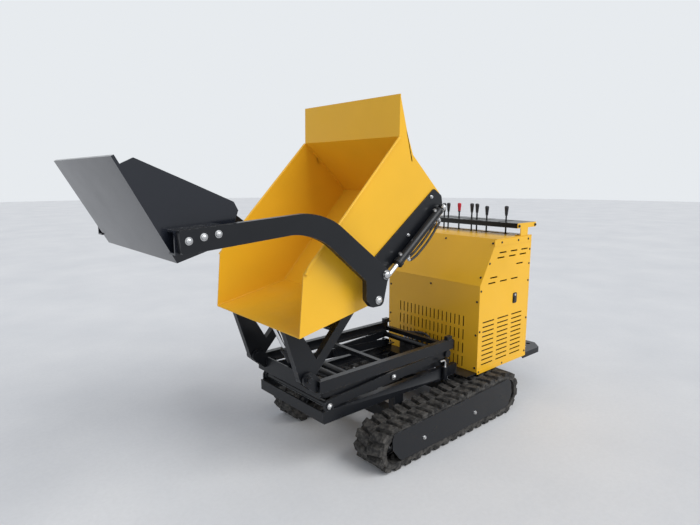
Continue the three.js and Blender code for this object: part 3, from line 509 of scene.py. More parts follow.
def pair(name, build, finishes, body, replaces=None):
    """A left piece and its mirror image. Bodies and nodes are given with {side} in their names."""
    for side in ("left", "right"):
        gone = [replaces.format(side=side)] if replaces else []
        piece(f"{side}_{name}", build, finishes, body.format(side=side), gone, side == "right")


CAD_MERGE = 2e-6  # metres
CAD_FLAT = math.radians(0.4)


def finished(name, finish, slot, body, width):
    """A CAD node, merged and with its flats in one face each, given rounded edges and its finish."""

    def build(bm):
        bm.from_mesh(frame["nodes"][name].data)
        bmesh.ops.remove_doubles(bm, verts=bm.verts, dist=CAD_MERGE)
        bm.transform(FROM_ROW)
        bmesh.ops.dissolve_limit(bm, angle_limit=CAD_FLAT, verts=bm.verts, edges=bm.edges)
        soften(bm, width)

    piece(name + "_body", build, [finish], body, [name])


FINISHED = [
    ("chassis", BLACK, "black_paint", "chassis", 1.8),
    ("left_track_frame", BLACK, "black_paint", "chassis", 1.2),
    ("right_track_frame", BLACK, "black_paint", "chassis", 1.2),
    ("left_sprocket", CAST, "cast_metal", "chassis", 1.2),
    ("right_sprocket", CAST, "cast_metal", "chassis", 1.2),
    ("footboard", BLACK, "black_paint", "footboard", 0.8),
    ("hood_front", YELLOW, "yellow_paint", "chassis", 0.8),
    ("left_hood_side", YELLOW, "yellow_paint", "chassis", 0.7),
    ("right_hood_side", YELLOW, "yellow_paint", "chassis", 0.7),
    ("hood_top", YELLOW, "yellow_paint", "chassis", 0.8),
    ("hood_rear", YELLOW, "yellow_paint", "chassis", 0.8),
    ("engine", CAST, "cast_metal", "chassis", 8.0),
    ("control_stand", CAST, "cast_metal", "chassis", 2.0),
    ("lever_gate", BLACK, "black_paint", "chassis", 0.8),
    ("left_gate_bracket", YELLOW, "yellow_paint", "chassis", 0.8),
    ("right_gate_bracket", YELLOW, "yellow_paint", "chassis", 0.8),
    ("lift_outer_arms", BLACK, "black_paint", "outer_arms", 1.6),
    ("lift_inner_arms", BLACK, "black_paint", "inner_arms", 1.6),
    ("upper_frame", BLACK, "black_paint", "upper_frame", 1.8),
    ("skip", YELLOW, "yellow_paint", "skip", 1.4),
    ("skip_frame", BLACK, "black_paint", "skip", 1.2),
    ("left_side_plate", BLACK, "black_paint", "skip", 1.2),
    ("right_side_plate", BLACK, "black_paint", "skip", 1.2),
    ("shovel", SHOVEL_GREY, "shovel_paint", "arms", 1.2),
    ("hydraulic_manifold", CAST, "cast_metal", "chassis", 1.5),
]
for row in FINISHED:
    finished(*row)

# ---------- Tracks ----------

LUG_COUNT = 36
LUG_LENGTH = 58
LUG_WIDTH = 88
LUG_HEIGHT = 20
LUG_ROOT = 4  # how far a lug goes into the belt
LUG_SLANT = 17
LUG_Y = 43
GUIDE_SIZE = (26, 10, 22)
GUIDE_Y = 46
BELT_THICKNESS = 45
BELT_STEPS = 5  # flats of the belt from one lug to the next
IDLER_RADIUS = 110
AXLE_HALF = 49
YOKE_YS = (36, 46)
MOTOR_BOLTS = 8
track_low, track_high = box_of("left_track")
TRACK_Y = (track_low.y + track_high.y) / 2
TRACK_WIDTH = track_high.y - track_low.y
SPROCKET_RADIUS = track_high.z / 2
IDLER_X = track_high.x - IDLER_RADIUS
SPROCKET_X = track_low.x + SPROCKET_RADIUS


def track_place(share):
    """Where the line through the lugs' tips is, at a share of its length: x, z and the angle it faces."""
    run = Vector((IDLER_X - SPROCKET_X, IDLER_RADIUS - SPROCKET_RADIUS))
    low = -math.pi / 2
    high = math.atan2(run.y, run.x) + math.acos((SPROCKET_RADIUS - IDLER_RADIUS) / run.length)
    straight = math.sqrt(run.length ** 2 - run.y ** 2)
    round_front = IDLER_RADIUS * (high - low)
    round_rear = SPROCKET_RADIUS * (low + 2 * math.pi - high)
    at = share * (2 * straight + round_front + round_rear)
    if at <= straight:
        return SPROCKET_X + at, 0.0, low
    at -= straight
    if at <= round_front:
        angle = low + at / IDLER_RADIUS
        return IDLER_X + IDLER_RADIUS * math.cos(angle), IDLER_RADIUS * (1 + math.sin(angle)), angle
    at -= round_front
    if at <= straight:
        x = IDLER_X + IDLER_RADIUS * math.cos(high) - at * math.sin(high)
        return x, IDLER_RADIUS * (1 + math.sin(high)) + at * math.cos(high), high
    angle = high + (at - straight) / SPROCKET_RADIUS
    return SPROCKET_X + SPROCKET_RADIUS * math.cos(angle), SPROCKET_RADIUS * (1 + math.sin(angle)), angle


def on_track(share, y, depth):
    """A place on the track: Z looks out of it, X along it and Y across it."""
    x, z, angle = track_place(share % 1.0)
    out = Vector((math.cos(angle), 0, math.sin(angle)))
    along = Vector((-math.sin(angle), 0, math.cos(angle)))
    across = out.cross(along)
    turn = Matrix((along, across, out)).transposed().to_4x4()
    return Matrix.Translation(Vector((x, y, z)) - out * depth) @ turn


def along_track(share, y, depth):
    """A place at each lug, moved on by a share of the way to the next one."""
    return [on_track((i + share) / LUG_COUNT, y, depth) for i in range(LUG_COUNT)]


def track_lug(half):
    """One lug: a tapered block on the left or right half of the belt, slanted towards its middle."""
    shape = bmesh.new()
    size = (LUG_LENGTH, LUG_WIDTH, LUG_HEIGHT + LUG_ROOT)
    bmesh.ops.create_cube(shape, size=1, matrix=Matrix.Diagonal((*size, 1)))
    top = [vert for vert in shape.verts if vert.co.z > 0]
    bmesh.ops.scale(shape, vec=(0.78, 0.97, 1), verts=top)
    inner = [vert for vert in shape.verts if vert.co.y * half < 0]
    bmesh.ops.translate(shape, vec=(LUG_SLANT, 0, 0), verts=inner)
    bmesh.ops.scale(shape, vec=(0.84, 1, 1), verts=inner, space=Matrix.Translation((-LUG_SLANT, 0, 0)))
    soften(shape, 2.6)
    return shape


def track_guide():
    """One of the teeth inside the belt that keep it on its wheels."""
    shape = bmesh.new()
    bmesh.ops.create_cube(shape, size=1, matrix=Matrix.Diagonal((*GUIDE_SIZE, 1)))
    low = [vert for vert in shape.verts if vert.co.z < 0]
    bmesh.ops.scale(shape, vec=(0.5, 0.7, 1), verts=low)
    soften(shape, 1.5)
    return shape


def track_belt(bm):
    count = LUG_COUNT * BELT_STEPS
    rings = []
    for depth in (LUG_HEIGHT, BELT_THICKNESS):
        places = [on_track(i / count, track_low.y, depth).translation for i in range(count)]
        verts = [bm.verts.new(place) for place in places]
        rings += [bm.edges.new((verts[i - 1], verts[i])) for i in range(count)]
    bmesh.ops.bridge_loops(bm, edges=rings)
    thick = bmesh.ops.extrude_face_region(bm, geom=bm.faces[:])
    raised = [item for item in thick["geom"] if isinstance(item, bmesh.types.BMVert)]
    bmesh.ops.translate(bm, vec=(0, TRACK_WIDTH, 0), verts=raised)
    bmesh.ops.recalc_face_normals(bm, faces=bm.faces)
    soften(bm, 4.0, 3)
    lug_depth = LUG_HEIGHT / 2 + 5
    guide_depth = BELT_THICKNESS + 10
    for half, share in ((-1, 0.75), (1, 0.25)):
        stamp(bm, track_lug(half), *along_track(share, TRACK_Y + half * LUG_Y, lug_depth))
        stamp(bm, track_guide(), *along_track(0.5, TRACK_Y + half * GUIDE_Y, guide_depth))
    bmesh.ops.recalc_face_normals(bm, faces=bm.faces)


def idler_wheel(bm):
    """A hub, a web and a rim, the same on both sides, on an axle."""
    rim = IDLER_RADIUS - BELT_THICKNESS - 0.4
    half = [(0, 34), (28, 34), (29, 33), (29, 13), (46, 10), (52, 29), (54, 30), (rim - 3, 30), (rim, 27)]
    profile = [(radius, -y) for radius, y in half] + half[::-1]
    turned(bm, profile, to_left(IDLER_X, TRACK_Y, IDLER_RADIUS), 64)
    ends = [(IDLER_X, TRACK_Y + y, IDLER_RADIUS) for y in (-AXLE_HALF, AXLE_HALF)]
    bar(bm, *ends, 12, 1.5)


YOKE_BOLT = (IDLER_X + 40, IDLER_RADIUS + 22)


def idler_yoke(bm):
    """The plate beside the idler that carries its axle and the bolt that tightens the track."""
    x, z = YOKE_BOLT
    corners = [
        (IDLER_X - 24, IDLER_RADIUS - 22, 18), (IDLER_X - 24, IDLER_RADIUS + 26, 18), (x + 10, z + 20, 18),
        (x + 18, z - 12, 16), (IDLER_X + 20, IDLER_RADIUS - 26, 18),
    ]
    plate(bm, corners, TRACK_Y + YOKE_YS[0], TRACK_Y + YOKE_YS[1], 1.5)


def idler_bolt(bm):
    hex_bolt(bm, to_left(YOKE_BOLT[0], TRACK_Y + YOKE_YS[1] - SINK, YOKE_BOLT[1]), 13)
    hex_bolt(bm, to_left(IDLER_X, TRACK_Y + AXLE_HALF - SINK, IDLER_RADIUS), 9)


def drive_motor(bm):
    """A stepped drum with a ring of bolts behind its flange, and a port block on top."""
    low, high = box_of("left_drive_motor")
    place = to_left(SPROCKET_X, low.y, SPROCKET_RADIUS)
    length = high.y - low.y
    neck = length - 66
    drum = [
        (0, 0), (34, 0), (37, 3), (38, 8), (38, neck), (41, neck + 2), (50, neck + 2), (55, neck + 6),
        (55, length - 14), (53, length - 12), (53, length - 9), (55, length - 7), (55, length - 1),
        (54, length), (0, length),
    ]
    turned(bm, drum, place, 64)
    for i in range(MOTOR_BOLTS):
        turn = Matrix.Rotation(2 * math.pi * (i + 0.5) / MOTOR_BOLTS, 4, "Z")
        back = Matrix.Translation((46, 0, neck + 2)) @ Matrix.Rotation(math.pi, 4, "X")
        hex_bolt(bm, place @ turn @ back, 7, False)
    block(bm, (SPROCKET_X - 22, low.y + 8, SPROCKET_RADIUS), (SPROCKET_X + 22, low.y + 45, high.z), 3)
    port = [(0, 0), (8, 0), (8, 6), (6, 7), (6, 14), (0, 14)]
    for x in (SPROCKET_X - 11, SPROCKET_X + 11):
        turned(bm, port, facing((x, low.y + 26, high.z - 1), (0, 0, 1)), 12)


def track_cover(bm):
    low, _ = box_of("left_track_cover")
    corners = [
        (IDLER_X + 18, 198, 14), (SPROCKET_X - 6, 216, 14), (SPROCKET_X - 33, 193, 22),
        (SPROCKET_X - 46, 121, 34), (SPROCKET_X - 8, low.z, 30), (IDLER_X - 26, low.z, 34),
        (IDLER_X + 29, 122, 34), (IDLER_X + 33, 173, 22),
    ]
    plate(bm, corners, low.y, low.y + 4, 1.4)


COVER_BOLT_XS = (-135, 273)
COVER_BOLT_HEAD = 6.2


def cover_bolts(bm):
    _, high = box_of("left_track_cover")
    for x in COVER_BOLT_XS:
        hex_bolt(bm, to_left(x, high.y - COVER_BOLT_HEAD, IDLER_RADIUS + 2), 9)


pair("track_belt", track_belt, [TRACK_RUBBER], "chassis", "{side}_track")
pair("idler_wheel", idler_wheel, [CAST], "chassis", "{side}_idler")
pair("idler_yoke", idler_yoke, [BLACK], "chassis")
pair("idler_bolt", idler_bolt, [ZINC], "chassis")
pair("motor", drive_motor, [CAST], "chassis", "{side}_drive_motor")
pair("track_cover_plate", track_cover, [BLACK], "chassis", "{side}_track_cover")
pair("track_cover_bolts", cover_bolts, [ZINC], "chassis")

# ---------- Cylinders ----------

Sizes = namedtuple("Sizes", "radius length bore rod rod_start base_eye rod_eye")
LIFT_SIZES = Sizes(radius=25, length=440, bore=100, rod=14, rod_start=130, base_eye=27, rod_eye=21)
TIP_SIZES = Sizes(radius=25, length=225, bore=66, rod=14, rod_start=180, base_eye=29, rod_eye=21)
LOADER_SIZES = Sizes(radius=20, length=385, bore=110, rod=10, rod_start=300, base_eye=10, rod_eye=10)
PIN_BORE = 10.4
ROD_EYE_RADIUS = 18
CHAMFER = 1.5


def barrel_body(bm, place, eye, sizes):
    """The barrel's foot, tube, gland and bore in one profile, and the eye at its base."""
    radius, length, rod = sizes.radius, sizes.length, sizes.rod
    eye_radius = radius - 3
    width = 2 * sizes.base_eye
    foot = [
        (0, eye_radius - 6), (radius * 0.5, eye_radius - 4), (radius * 0.5, eye_radius + 2),
        (radius - 3, eye_radius + 2), (radius, eye_radius + 5), (radius, eye_radius + 12),
        (radius - 1, eye_radius + 13),
    ]
    gland = [
        (radius - 1, length - 24), (radius, length - 23), (radius, length - 21), (radius + 3, length - 20),
        (radius + 3, length - 13), (radius + 2, length - 12.4), (radius + 2, length - 10.6),
        (radius + 3, length - 10), (radius + 3, length - 2), (radius + 1, length),
    ]
    bore = [
        (rod + 5, length), (rod + 4, length + 1.5), (rod + 1, length + 1.5), (rod + 0.4, length - 1),
        (rod + 0.4, sizes.bore), (0, sizes.bore),
    ]
    ring = [
        (PIN_BORE, 0), (eye_radius - CHAMFER, 0), (eye_radius, CHAMFER), (eye_radius, width - CHAMFER),
        (eye_radius - CHAMFER, width), (PIN_BORE, width), (PIN_BORE, 0),
    ]
    turned(bm, foot + gland + bore, place, 48)
    turned(bm, ring, eye, 40)


def rod_body(bm, place, end, eye, sizes):
    """The rod up to its end, and the eye that is welded on there."""
    rod, start = sizes.rod, sizes.rod_start
    inner = ROD_EYE_RADIUS - CHAMFER
    width = 2 * sizes.rod_eye
    ring = [(0, 0), (inner, 0), (ROD_EYE_RADIUS, CHAMFER), (ROD_EYE_RADIUS, width - CHAMFER),
            (inner, width), (0, width)]
    turned(bm, [(0, start), (rod - 1, start), (rod, start + 1), (rod, end), (0, end)], place, 40)
    turned(bm, ring, eye, 40)


def cylinder_ports(bm, base, direction, sizes):
    """The two hexagon ports on the barrel."""
    side = Vector((0, 1, 0)).cross(direction) * -1
    port = [(0, 0), (9, 0), (9, 5), (7.5, 6), (7.5, 12), (0, 12)]
    for at in (sizes.radius + 27, sizes.length - 42):
        root = base + direction * at + side * (sizes.radius - 3)
        turned(bm, port, facing(root, side), 6)


def hydraulic_cylinder(name, nodes, base, direction, sizes, bodies):
    """A barrel with its ports, and a rod, on their line. Nodes and bodies: the barrel's, then the rod's."""
    low, high = box_of(nodes[0])
    middle_y = (low.y + high.y) / 2
    base = Vector((base.x, middle_y, base.z))
    place = facing(base, direction)
    base_eye = to_left(base.x, middle_y - sizes.base_eye, base.z)
    piece(f"{name}_barrel_body", lambda bm: barrel_body(bm, place, base_eye, sizes), [BLACK], bodies[0],
          [nodes[0]])

    eye_at = reach(nodes[1], base, direction) - ROD_EYE_RADIUS
    eye = base + direction * eye_at
    rod_eye = to_left(eye.x, middle_y - sizes.rod_eye, eye.z)
    piece(f"{name}_rod_body", lambda bm: rod_body(bm, place, eye_at - 15, rod_eye, sizes), [CHROME],
          bodies[1], [nodes[1]])
    piece(f"{name}_ports", lambda bm: cylinder_ports(bm, base, direction, sizes), [ZINC], bodies[0])


for name, sizes in (("lift", LIFT_SIZES), ("tip", TIP_SIZES)):
    hydraulic_cylinder(f"{name}_cylinder", (f"{name}_cylinder_barrel", f"{name}_cylinder_rod"),
                       pivot(f"{name}_barrel_pivot"), slide_direction(f"{name}_rod_slide"), sizes,
                       (f"{name}_barrel", f"{name}_rod"))
loader_base = pivot("left_loader_barrel_pivot")
loader_line = slide_direction("left_loader_rod_slide")
for side in ("left", "right"):
    parts = (f"{side}_loader_barrel", f"{side}_loader_rod")
    hydraulic_cylinder(f"{side}_loader_cylinder", parts, loader_base, loader_line, LOADER_SIZES, parts)

# ---------- Loader arms ----------

loader_pivot = pivot("loader")
EYE_IN_SKIP = Vector((4, 0, 55))
cylinder_eye = SKIP @ EYE_IN_SKIP
ARM_YS = (404, 430)
ARM_BOLTS = ((-10, 78.7), (-61, 87.7), (-112, 93.7))  # from the shovel's heel
EYE_PIN_YS = (392.3, 405)
PIVOT_PIN_YS = (355, 403.5)
BASE_PIN_YS = (356, 392.5)


def arm_outline():
    """The arm's corners with their rounding, from its pivot, its cylinder's eye and the shovel's heel."""
    at, eye, tip = loader_pivot, cylinder_eye, SHOVEL_HEEL
    return [
        (at.x - 28, at.z + 8, 20), (at.x + 332.5, at.z + 286.3, 278), (tip.x + 20, tip.z + 112, 10),
        (tip.x + 15, tip.z + 35, 10), (at.x + 382.3, at.z + 212.6, 262), (at.x + 114, at.z - 14, 15),
        (eye.x + 68, eye.z + 8, 20), (eye.x + 36, eye.z - 28, 16), (eye.x - 28, eye.z - 28, 24),
        (eye.x - 54, eye.z + 76, 30),
    ]


def pin(bm, at, ys, radius):
    """A round pin across the machine, from one y to the other."""
    bar(bm, (at.x, ys[0], at.z), (at.x, ys[1], at.z), radius)


def loader_arm(bm):
    plate(bm, arm_outline(), *ARM_YS, 2.0, 24)
    pin(bm, cylinder_eye, EYE_PIN_YS, 13.2)


def arm_bolts(bm):
    for dx, dz in ARM_BOLTS:
        dome_nut(bm, to_left(SHOVEL_HEEL.x + dx, ARM_YS[1], SHOVEL_HEEL.z + dz), 10.5)
    dome_nut(bm, to_left(cylinder_eye.x, ARM_YS[1], cylinder_eye.z), 15)


def loader_pins(bm):
    """The pins of the arm and of its cylinder, with their caps."""
    pin(bm, loader_pivot, PIVOT_PIN_YS, 16.3)
    dome_nut(bm, to_left(loader_pivot.x, ARM_YS[1] + 0.4, loader_pivot.z), 17)
    pin(bm, loader_base, BASE_PIN_YS, 10.1)
    dome_nut(bm, to_left(loader_base.x, BASE_PIN_YS[1] - 0.1, loader_base.z), 13)


pair("arm_body", loader_arm, [BLACK], "arms", "{side}_arm")
pair("arm_bolts", arm_bolts, [ZINC], "arms")
pair("loader_pins", loader_pins, [ZINC], "skip")

# ---------- Hoses ----------

ACROSS_LOADER = Vector((0, 1, 0)).cross(loader_line)
# Each hose: its y, then its knots as distances along the barrel and out from its middle.
HOSE_ROUTES = (
    (388, ((322, 24), (322, 35), (296, 48), (230, 56), (150, 54), (90, 44), (56, 35), (56, 24))),
    (373, ((304, 24), (304, 33), (280, 41), (220, 45), (150, 43), (102, 38), (76, 33), (76, 24))),
)
HOSE_RADIUS = 5.6


def on_loader(along, out):
    return Vector((loader_base.x, 0, loader_base.z)) + loader_line * along + ACROSS_LOADER * out


def loader_hoses(bm):
    for y, route in HOSE_ROUTES:
        tube(bm, [on_loader(*knot) for knot in route], HOSE_RADIUS, Matrix.Translation((0, y, 0)))


def fitting(bm, place, radius, foot, end):
    """A hose's hexagon nut and crimped sleeve, from its foot to its end along the place's Z."""
    hexagon = bmesh.new()
    across = radius * 1.15
    bmesh.ops.create_cone(hexagon, cap_ends=True, segments=6, radius1=across, radius2=across, depth=7,
                          matrix=Matrix.Translation((0, 0, foot + 5)))
    soften(hexagon, 0.8)
    stamp(bm, hexagon, place)
    sleeve = [
        (0, foot), (radius * 0.9, foot), (radius * 0.9, foot + 9), (radius, foot + 10), (radius, end - 4),
        (radius * 0.93, end - 3.4), (radius * 0.93, end - 2.4), (radius, end - 2), (radius * 0.9, end),
        (0, end),
    ]
    turned(bm, sleeve, place, 20)


def loader_fittings(bm):
    for y, route in HOSE_ROUTES:
        for along in (route[0][0], route[-1][0]):
            place = facing(on_loader(along, 0) + Vector((0, y, 0)), ACROSS_LOADER)
            fitting(bm, place, radius=7.6, foot=17.5, end=37)


pair("loader_hose_body", loader_hoses, [HOSE], "{side}_loader_barrel", "{side}_loader_hose")
pair("loader_hose_fittings", loader_fittings, [ZINC], "{side}_loader_barrel")

manifold_low, manifold_high = box_of("hydraulic_manifold")
MANIFOLD_X = (manifold_low.x + manifold_high.x) / 2
VALVE_COUNT = 4
VALVE_STEP = 27.5
VALVE_YS = [manifold_low.y + 14 + VALVE_STEP * i for i in range(VALVE_COUNT)]


def manifold_fittings(bm):
    for y in VALVE_YS:
        place = facing((MANIFOLD_X, y, manifold_high.z - 0.5), (0, 0, 1))
        fitting(bm, place, radius=9.4, foot=0, end=35)


def manifold_hoses(bm):
    """Hoses that leave the valves and go back down through the deck, each held at both ends."""
    x = MANIFOLD_X
    deck = box_of("hood_front")[0].z
    for i, y in enumerate(VALVE_YS):
        reach_out = 34 + 9 * i
        top = manifold_high.z + 52 + 6 * i
        down_y = y + reach_out + 72
        route = [(x, y, manifold_high.z + 30), (x, y, top - 12), (x + 4, y + reach_out / 2, top + 6),
                 (x + 4, down_y - 12, top - 14), (x + 2, down_y, deck + 30), (x + 2, down_y, deck - 2)]
        tube(bm, route, 7)


piece("manifold_fittings", manifold_fittings, [ZINC], "chassis")
piece("manifold_hoses", manifold_hoses, [HOSE], "chassis")

# ---------- Pins, bolts and caps ----------

LIFT_FRONT = pivot("lift")
LIFT_MIDDLE = pivot("inner_arm_pivot")
FRONT_CAP_Y = 261.8
MIDDLE_CAP_Y = 250.8
PLATE_BOLT_Y = 356.8
PLATE_BOLTS = ((-586, 34), (-355, 35))  # in the skip's own frame
LOCK_PIN_X = -85
LOCK_COLLAR_Z = 331


def front_pivot_cap(bm):
    dome_nut(bm, to_left(LIFT_FRONT.x, FRONT_CAP_Y, LIFT_FRONT.z), 11.5)


def middle_pivot_cap(bm):
    dome_nut(bm, to_left(LIFT_MIDDLE.x, MIDDLE_CAP_Y, LIFT_MIDDLE.z), 11)


def side_plate_bolts(bm):
    for x, z in PLATE_BOLTS:
        at = SKIP @ Vector((x, 0, z))
        hex_bolt(bm, to_left(at.x, PLATE_BOLT_Y, at.z), 8)


pair("front_pivot_cap", front_pivot_cap, [ZINC], "chassis")
pair("middle_pivot_cap", middle_pivot_cap, [ZINC], "outer_arms")
pair("side_plate_bolts", side_plate_bolts, [ZINC], "skip")


def lock_pin(bm):
    """An L-handled pin with a point and a collar."""
    low, high = box_of("left_lock_pin")
    x, y = LOCK_PIN_X, (low.y + high.y) / 2
    bend = high.z - 16
    handle = high.z - 6
    route = [(x, y, low.z + 4), (x, y, low.z + 60), (x, y, bend), (x + 8, y, handle - 1),
             (x + 20, y, handle), (x + 40, y, handle)]
    tube(bm, route, 6)
    turned(bm, [(0, 0), (5, 0), (6.3, 2), (6.3, 12), (0, 12)], facing((x, y, low.z), (0, 0, 1)), 24)
    collar = [(6, 0), (11.5, 0), (12, 0.5), (12, 3), (6, 3.4)]
    turned(bm, collar, facing((x, y, LOCK_COLLAR_Z), (0, 0, 1)), 24)


pair("lock_pin_body", lock_pin, [ZINC], "chassis", "{side}_lock_pin")

# ---------- Levers ----------

LEVER_X = -720
LEVERS = {-272: 1178, -237: 1181, -148: 1183, -48: 1185, -8: 1185, 66: 1173, 205: 1179}  # y: top
RED_LEVER = -148
KNOB_HEIGHT = 52
BELLOWS = 4
VALVE_TOP = box_of("control_stand")[1].z
HOOD_TOP = box_of("hood_top")[1].z


def on_lever(y, z):
    return facing((LEVER_X, y, z), (0, 0, 1))


def lever_rods(bm):
    """The rods, each with a nut at its foot and one under its knob."""
    foot = VALVE_TOP + 0.3
    for y, top in LEVERS.items():
        knob_foot = top - KNOB_HEIGHT
        bar(bm, (LEVER_X, y, foot), (LEVER_X, y, knob_foot + 4), 5, 0.8, 20)
        turned(bm, [(0, 0), (9, 0), (9, 8), (5.4, 9), (0, 9)], on_lever(y, foot), 6)
        turned(bm, [(4.8, 0), (8, 0), (8, 7), (4.8, 7)], on_lever(y, knob_foot - 7), 6)


def lever_boots(bm):
    """The bellows that close the slots around the levers."""
    profile = [(5.2, 30)]
    for i in range(BELLOWS):
        radius = 8 + 2.2 * i
        profile += [(radius, 27 - 6 * i), (radius - 1.6, 24 - 6 * i)]
    profile += [(15.5, 2), (15.5, 0.4), (5.2, 0.4)]
    for y in LEVERS:
        turned(bm, profile, on_lever(y, HOOD_TOP - 26), 24)


def lever_knobs(bm, ys):
    profile = [(0, 0), (7.5, 0), (9, 1.5), (9.4, 9), (10.6, 22), (12.2, 36), (12.6, 43), (11.8, 48),
               (9, 51), (5, KNOB_HEIGHT), (0, KNOB_HEIGHT)]
    for y in ys:
        turned(bm, profile, on_lever(y, LEVERS[y] - KNOB_HEIGHT), 32)


black_levers = [y for y in LEVERS if y != RED_LEVER]
piece("lever_rods", lever_rods, [BLACK], "chassis", ["control_levers"])
piece("lever_boots", lever_boots, [HOSE], "chassis")
piece("lever_knobs", lambda bm: lever_knobs(bm, black_levers), [KNOB], "chassis")
piece("drive_lever_knob", lambda bm: lever_knobs(bm, [RED_LEVER]), [RED_KNOB], "chassis")

# ---------- Hood fittings ----------

HOOD_SIDE = 346.3
HOOD_FRONT = -275
HOOD_REAR = -780
SLOPE = Vector((0.8665, 0, 0.4992))  # the way that the sloping top of the hood's front looks
SLOPE_FOOT_Z = 764
SLOPE_RUN = 143
SLOPE_RISE = 248
SCREW = 6.5
SCREW_SINK = 0.1
SIDE_SCREWS = ((-357, 881), (-287, 734), (-287, 504), (-290, 270), (-521, 270), (-765, 927), (-765, 840),
               (-765, 736), (-765, 502), (-765, 290))
SKIRT_SCREW_XS = (-464, -633, -740)
SKIRT_SCREW_Z = 991
SKIRT_THICKNESS = 1.8
FRONT_SCREW_Y = 330
FRONT_SCREW_ZS = (674, 483, 293)
SLOPE_SCREW_ZS = (988, 808)
REAR_SCREW_Y = 325
REAR_SCREW_ZS = (960, 620, 300)
GATE_BOLT_Z = 1071
BRACKET_FOOT = (324, 1017)
BRACKET_SCREW_XS = (-727, -665)


def slope_x(z):
    """Where the hood's sloping front is, at a height."""
    return HOOD_FRONT - (z - SLOPE_FOOT_Z) * SLOPE_RUN / SLOPE_RISE


def side_screws(bm):
    for x, z in SIDE_SCREWS:
        button_screw(bm, to_left(x, HOOD_SIDE - SCREW_SINK, z), SCREW)
    for x in SKIRT_SCREW_XS:
        button_screw(bm, to_left(x, HOOD_SIDE + SKIRT_THICKNESS - SCREW_SINK, SKIRT_SCREW_Z), SCREW)
    for z in FRONT_SCREW_ZS:
        button_screw(bm, facing((HOOD_FRONT - SCREW_SINK, FRONT_SCREW_Y, z), (1, 0, 0)), SCREW)
    for z in SLOPE_SCREW_ZS:
        button_screw(bm, facing((slope_x(z) - SCREW_SINK, FRONT_SCREW_Y, z), SLOPE), SCREW)
    for z in REAR_SCREW_ZS:
        button_screw(bm, facing((HOOD_REAR + SCREW_SINK, REAR_SCREW_Y, z), (-1, 0, 0)), SCREW)


def gate_bolts(bm):
    low, high = box_of("left_gate_bracket")
    for x in (low.x + 12, high.x - 12):
        hex_bolt(bm, to_left(x, high.y - SINK, GATE_BOLT_Z), 8)
    for x in BRACKET_SCREW_XS:
        button_screw(bm, facing((x, *BRACKET_FOOT), (0, 0, 1)), 6)


def top_skirt(bm):
    """The top panel's turned-down edge, over the side panel."""
    corners = [(-396, 972, 4), (-396, 1008, 0), (-764, 1008, 0), (-764, 972, 4)]
    plate(bm, corners, HOOD_SIDE - 0.5, HOOD_SIDE + SKIRT_THICKNESS, 0.6)


def side_hem(bm):
    """The side panel's lower edge, over the edge of the deck."""
    corners = [(-277, 257, 0), (-277, 276, 0), (-779, 276, 0), (-779, 257, 0)]
    plate(bm, corners, HOOD_SIDE + 0.1, HOOD_SIDE + 1.6, 0.4)


pair("hood_side_screws", side_screws, [BLACK], "chassis")
pair("gate_bolts", gate_bolts, [BLACK], "chassis")
pair("hood_top_skirt", top_skirt, [YELLOW], "chassis")
pair("hood_side_hem", side_hem, [YELLOW], "chassis")


FRONT_SCREW_Z = 728
SLOPE_SCREW_Z = 988
LATCH_X = -625
LATCH_Z = 648
HANDLE_Y = 318
HANDLE_ZS = (603, 706)


def hood_front_screws(bm):
    """The two screws in the middle of the front."""
    button_screw(bm, facing((HOOD_FRONT - SCREW_SINK, 0, FRONT_SCREW_Z), (1, 0, 0)), SCREW)
    button_screw(bm, facing((slope_x(SLOPE_SCREW_Z) - SCREW_SINK, 0, SLOPE_SCREW_Z), SLOPE), SCREW)


def hood_slot_shade_sheets(bm):
    """Dark sheets behind the slots: painted shade that stands in for the dark engine bay seen through them.
    """
    block(bm, (HOOD_FRONT - 28, -300, 272), (HOOD_FRONT - 22, 300, 592), 1)
    for side in (1, -1):
        low_y, high_y = sorted((side * 312, side * 318))
        block(bm, (HOOD_REAR + 40, low_y, 285), (HOOD_FRONT - 30, high_y, 570), 1)
        block(bm, (HOOD_REAR + 30, low_y, 740), (HOOD_FRONT - 150, high_y, 955), 1)


def upright(half_width, low, high, rounding):
    """The corners of an upright rounded plate on the latch's middle line."""
    x, z = LATCH_X, LATCH_Z
    return [(x - half_width, z + low, rounding), (x - half_width, z + high, rounding),
            (x + half_width, z + high, rounding), (x + half_width, z + low, rounding)]


def side_latch(bm):
    """The latch of the left side panel: a frame and its paddle."""
    plate(bm, upright(19, -31, 31, 9), HOOD_SIDE - 0.5, HOOD_SIDE + 4, 1.2)
    plate(bm, upright(13, -25, 8, 5), HOOD_SIDE + 3.5, HOOD_SIDE + 8, 1.6)


def latch_lock(bm):
    """The key lock above the paddle."""
    lock = [(0, 0), (7, 0), (7, 3), (6, 4), (2, 4), (2, 2), (0, 2)]
    turned(bm, lock, to_left(LATCH_X, HOOD_SIDE + 3.8, LATCH_Z + 18), 24)


def rear_handle(bm):
    x, y = HOOD_REAR, HANDLE_Y
    route = [(x + 0.5, y, 603), (x - 20, y, 604), (x - 31, y, 616), (x - 32, y, 654), (x - 31, y, 693),
             (x - 20, y, 705), (x + 0.5, y, 706)]
    tube(bm, route, 8)
    foot = [(0, 0), (15, 0), (15, 2), (13.5, 3.5), (8, 4), (0, 4)]
    for z in HANDLE_ZS:
        turned(bm, foot, facing((x, y, z), (-1, 0, 0)), 28)


piece("hood_front_screws", hood_front_screws, [BLACK], "chassis")
# The black sheets behind the hood's slots are painted shade.
piece("hood_slot_shade_sheets", hood_slot_shade_sheets, [BLACK], "chassis")
piece("side_latch", side_latch, [KNOB], "chassis")
piece("latch_lock", latch_lock, [ZINC], "chassis")
piece("rear_handle", rear_handle, [KNOB], "chassis")

# ---------- Welds ----------

SKIP_INSIDE = 345
SKIP_REAR = -640
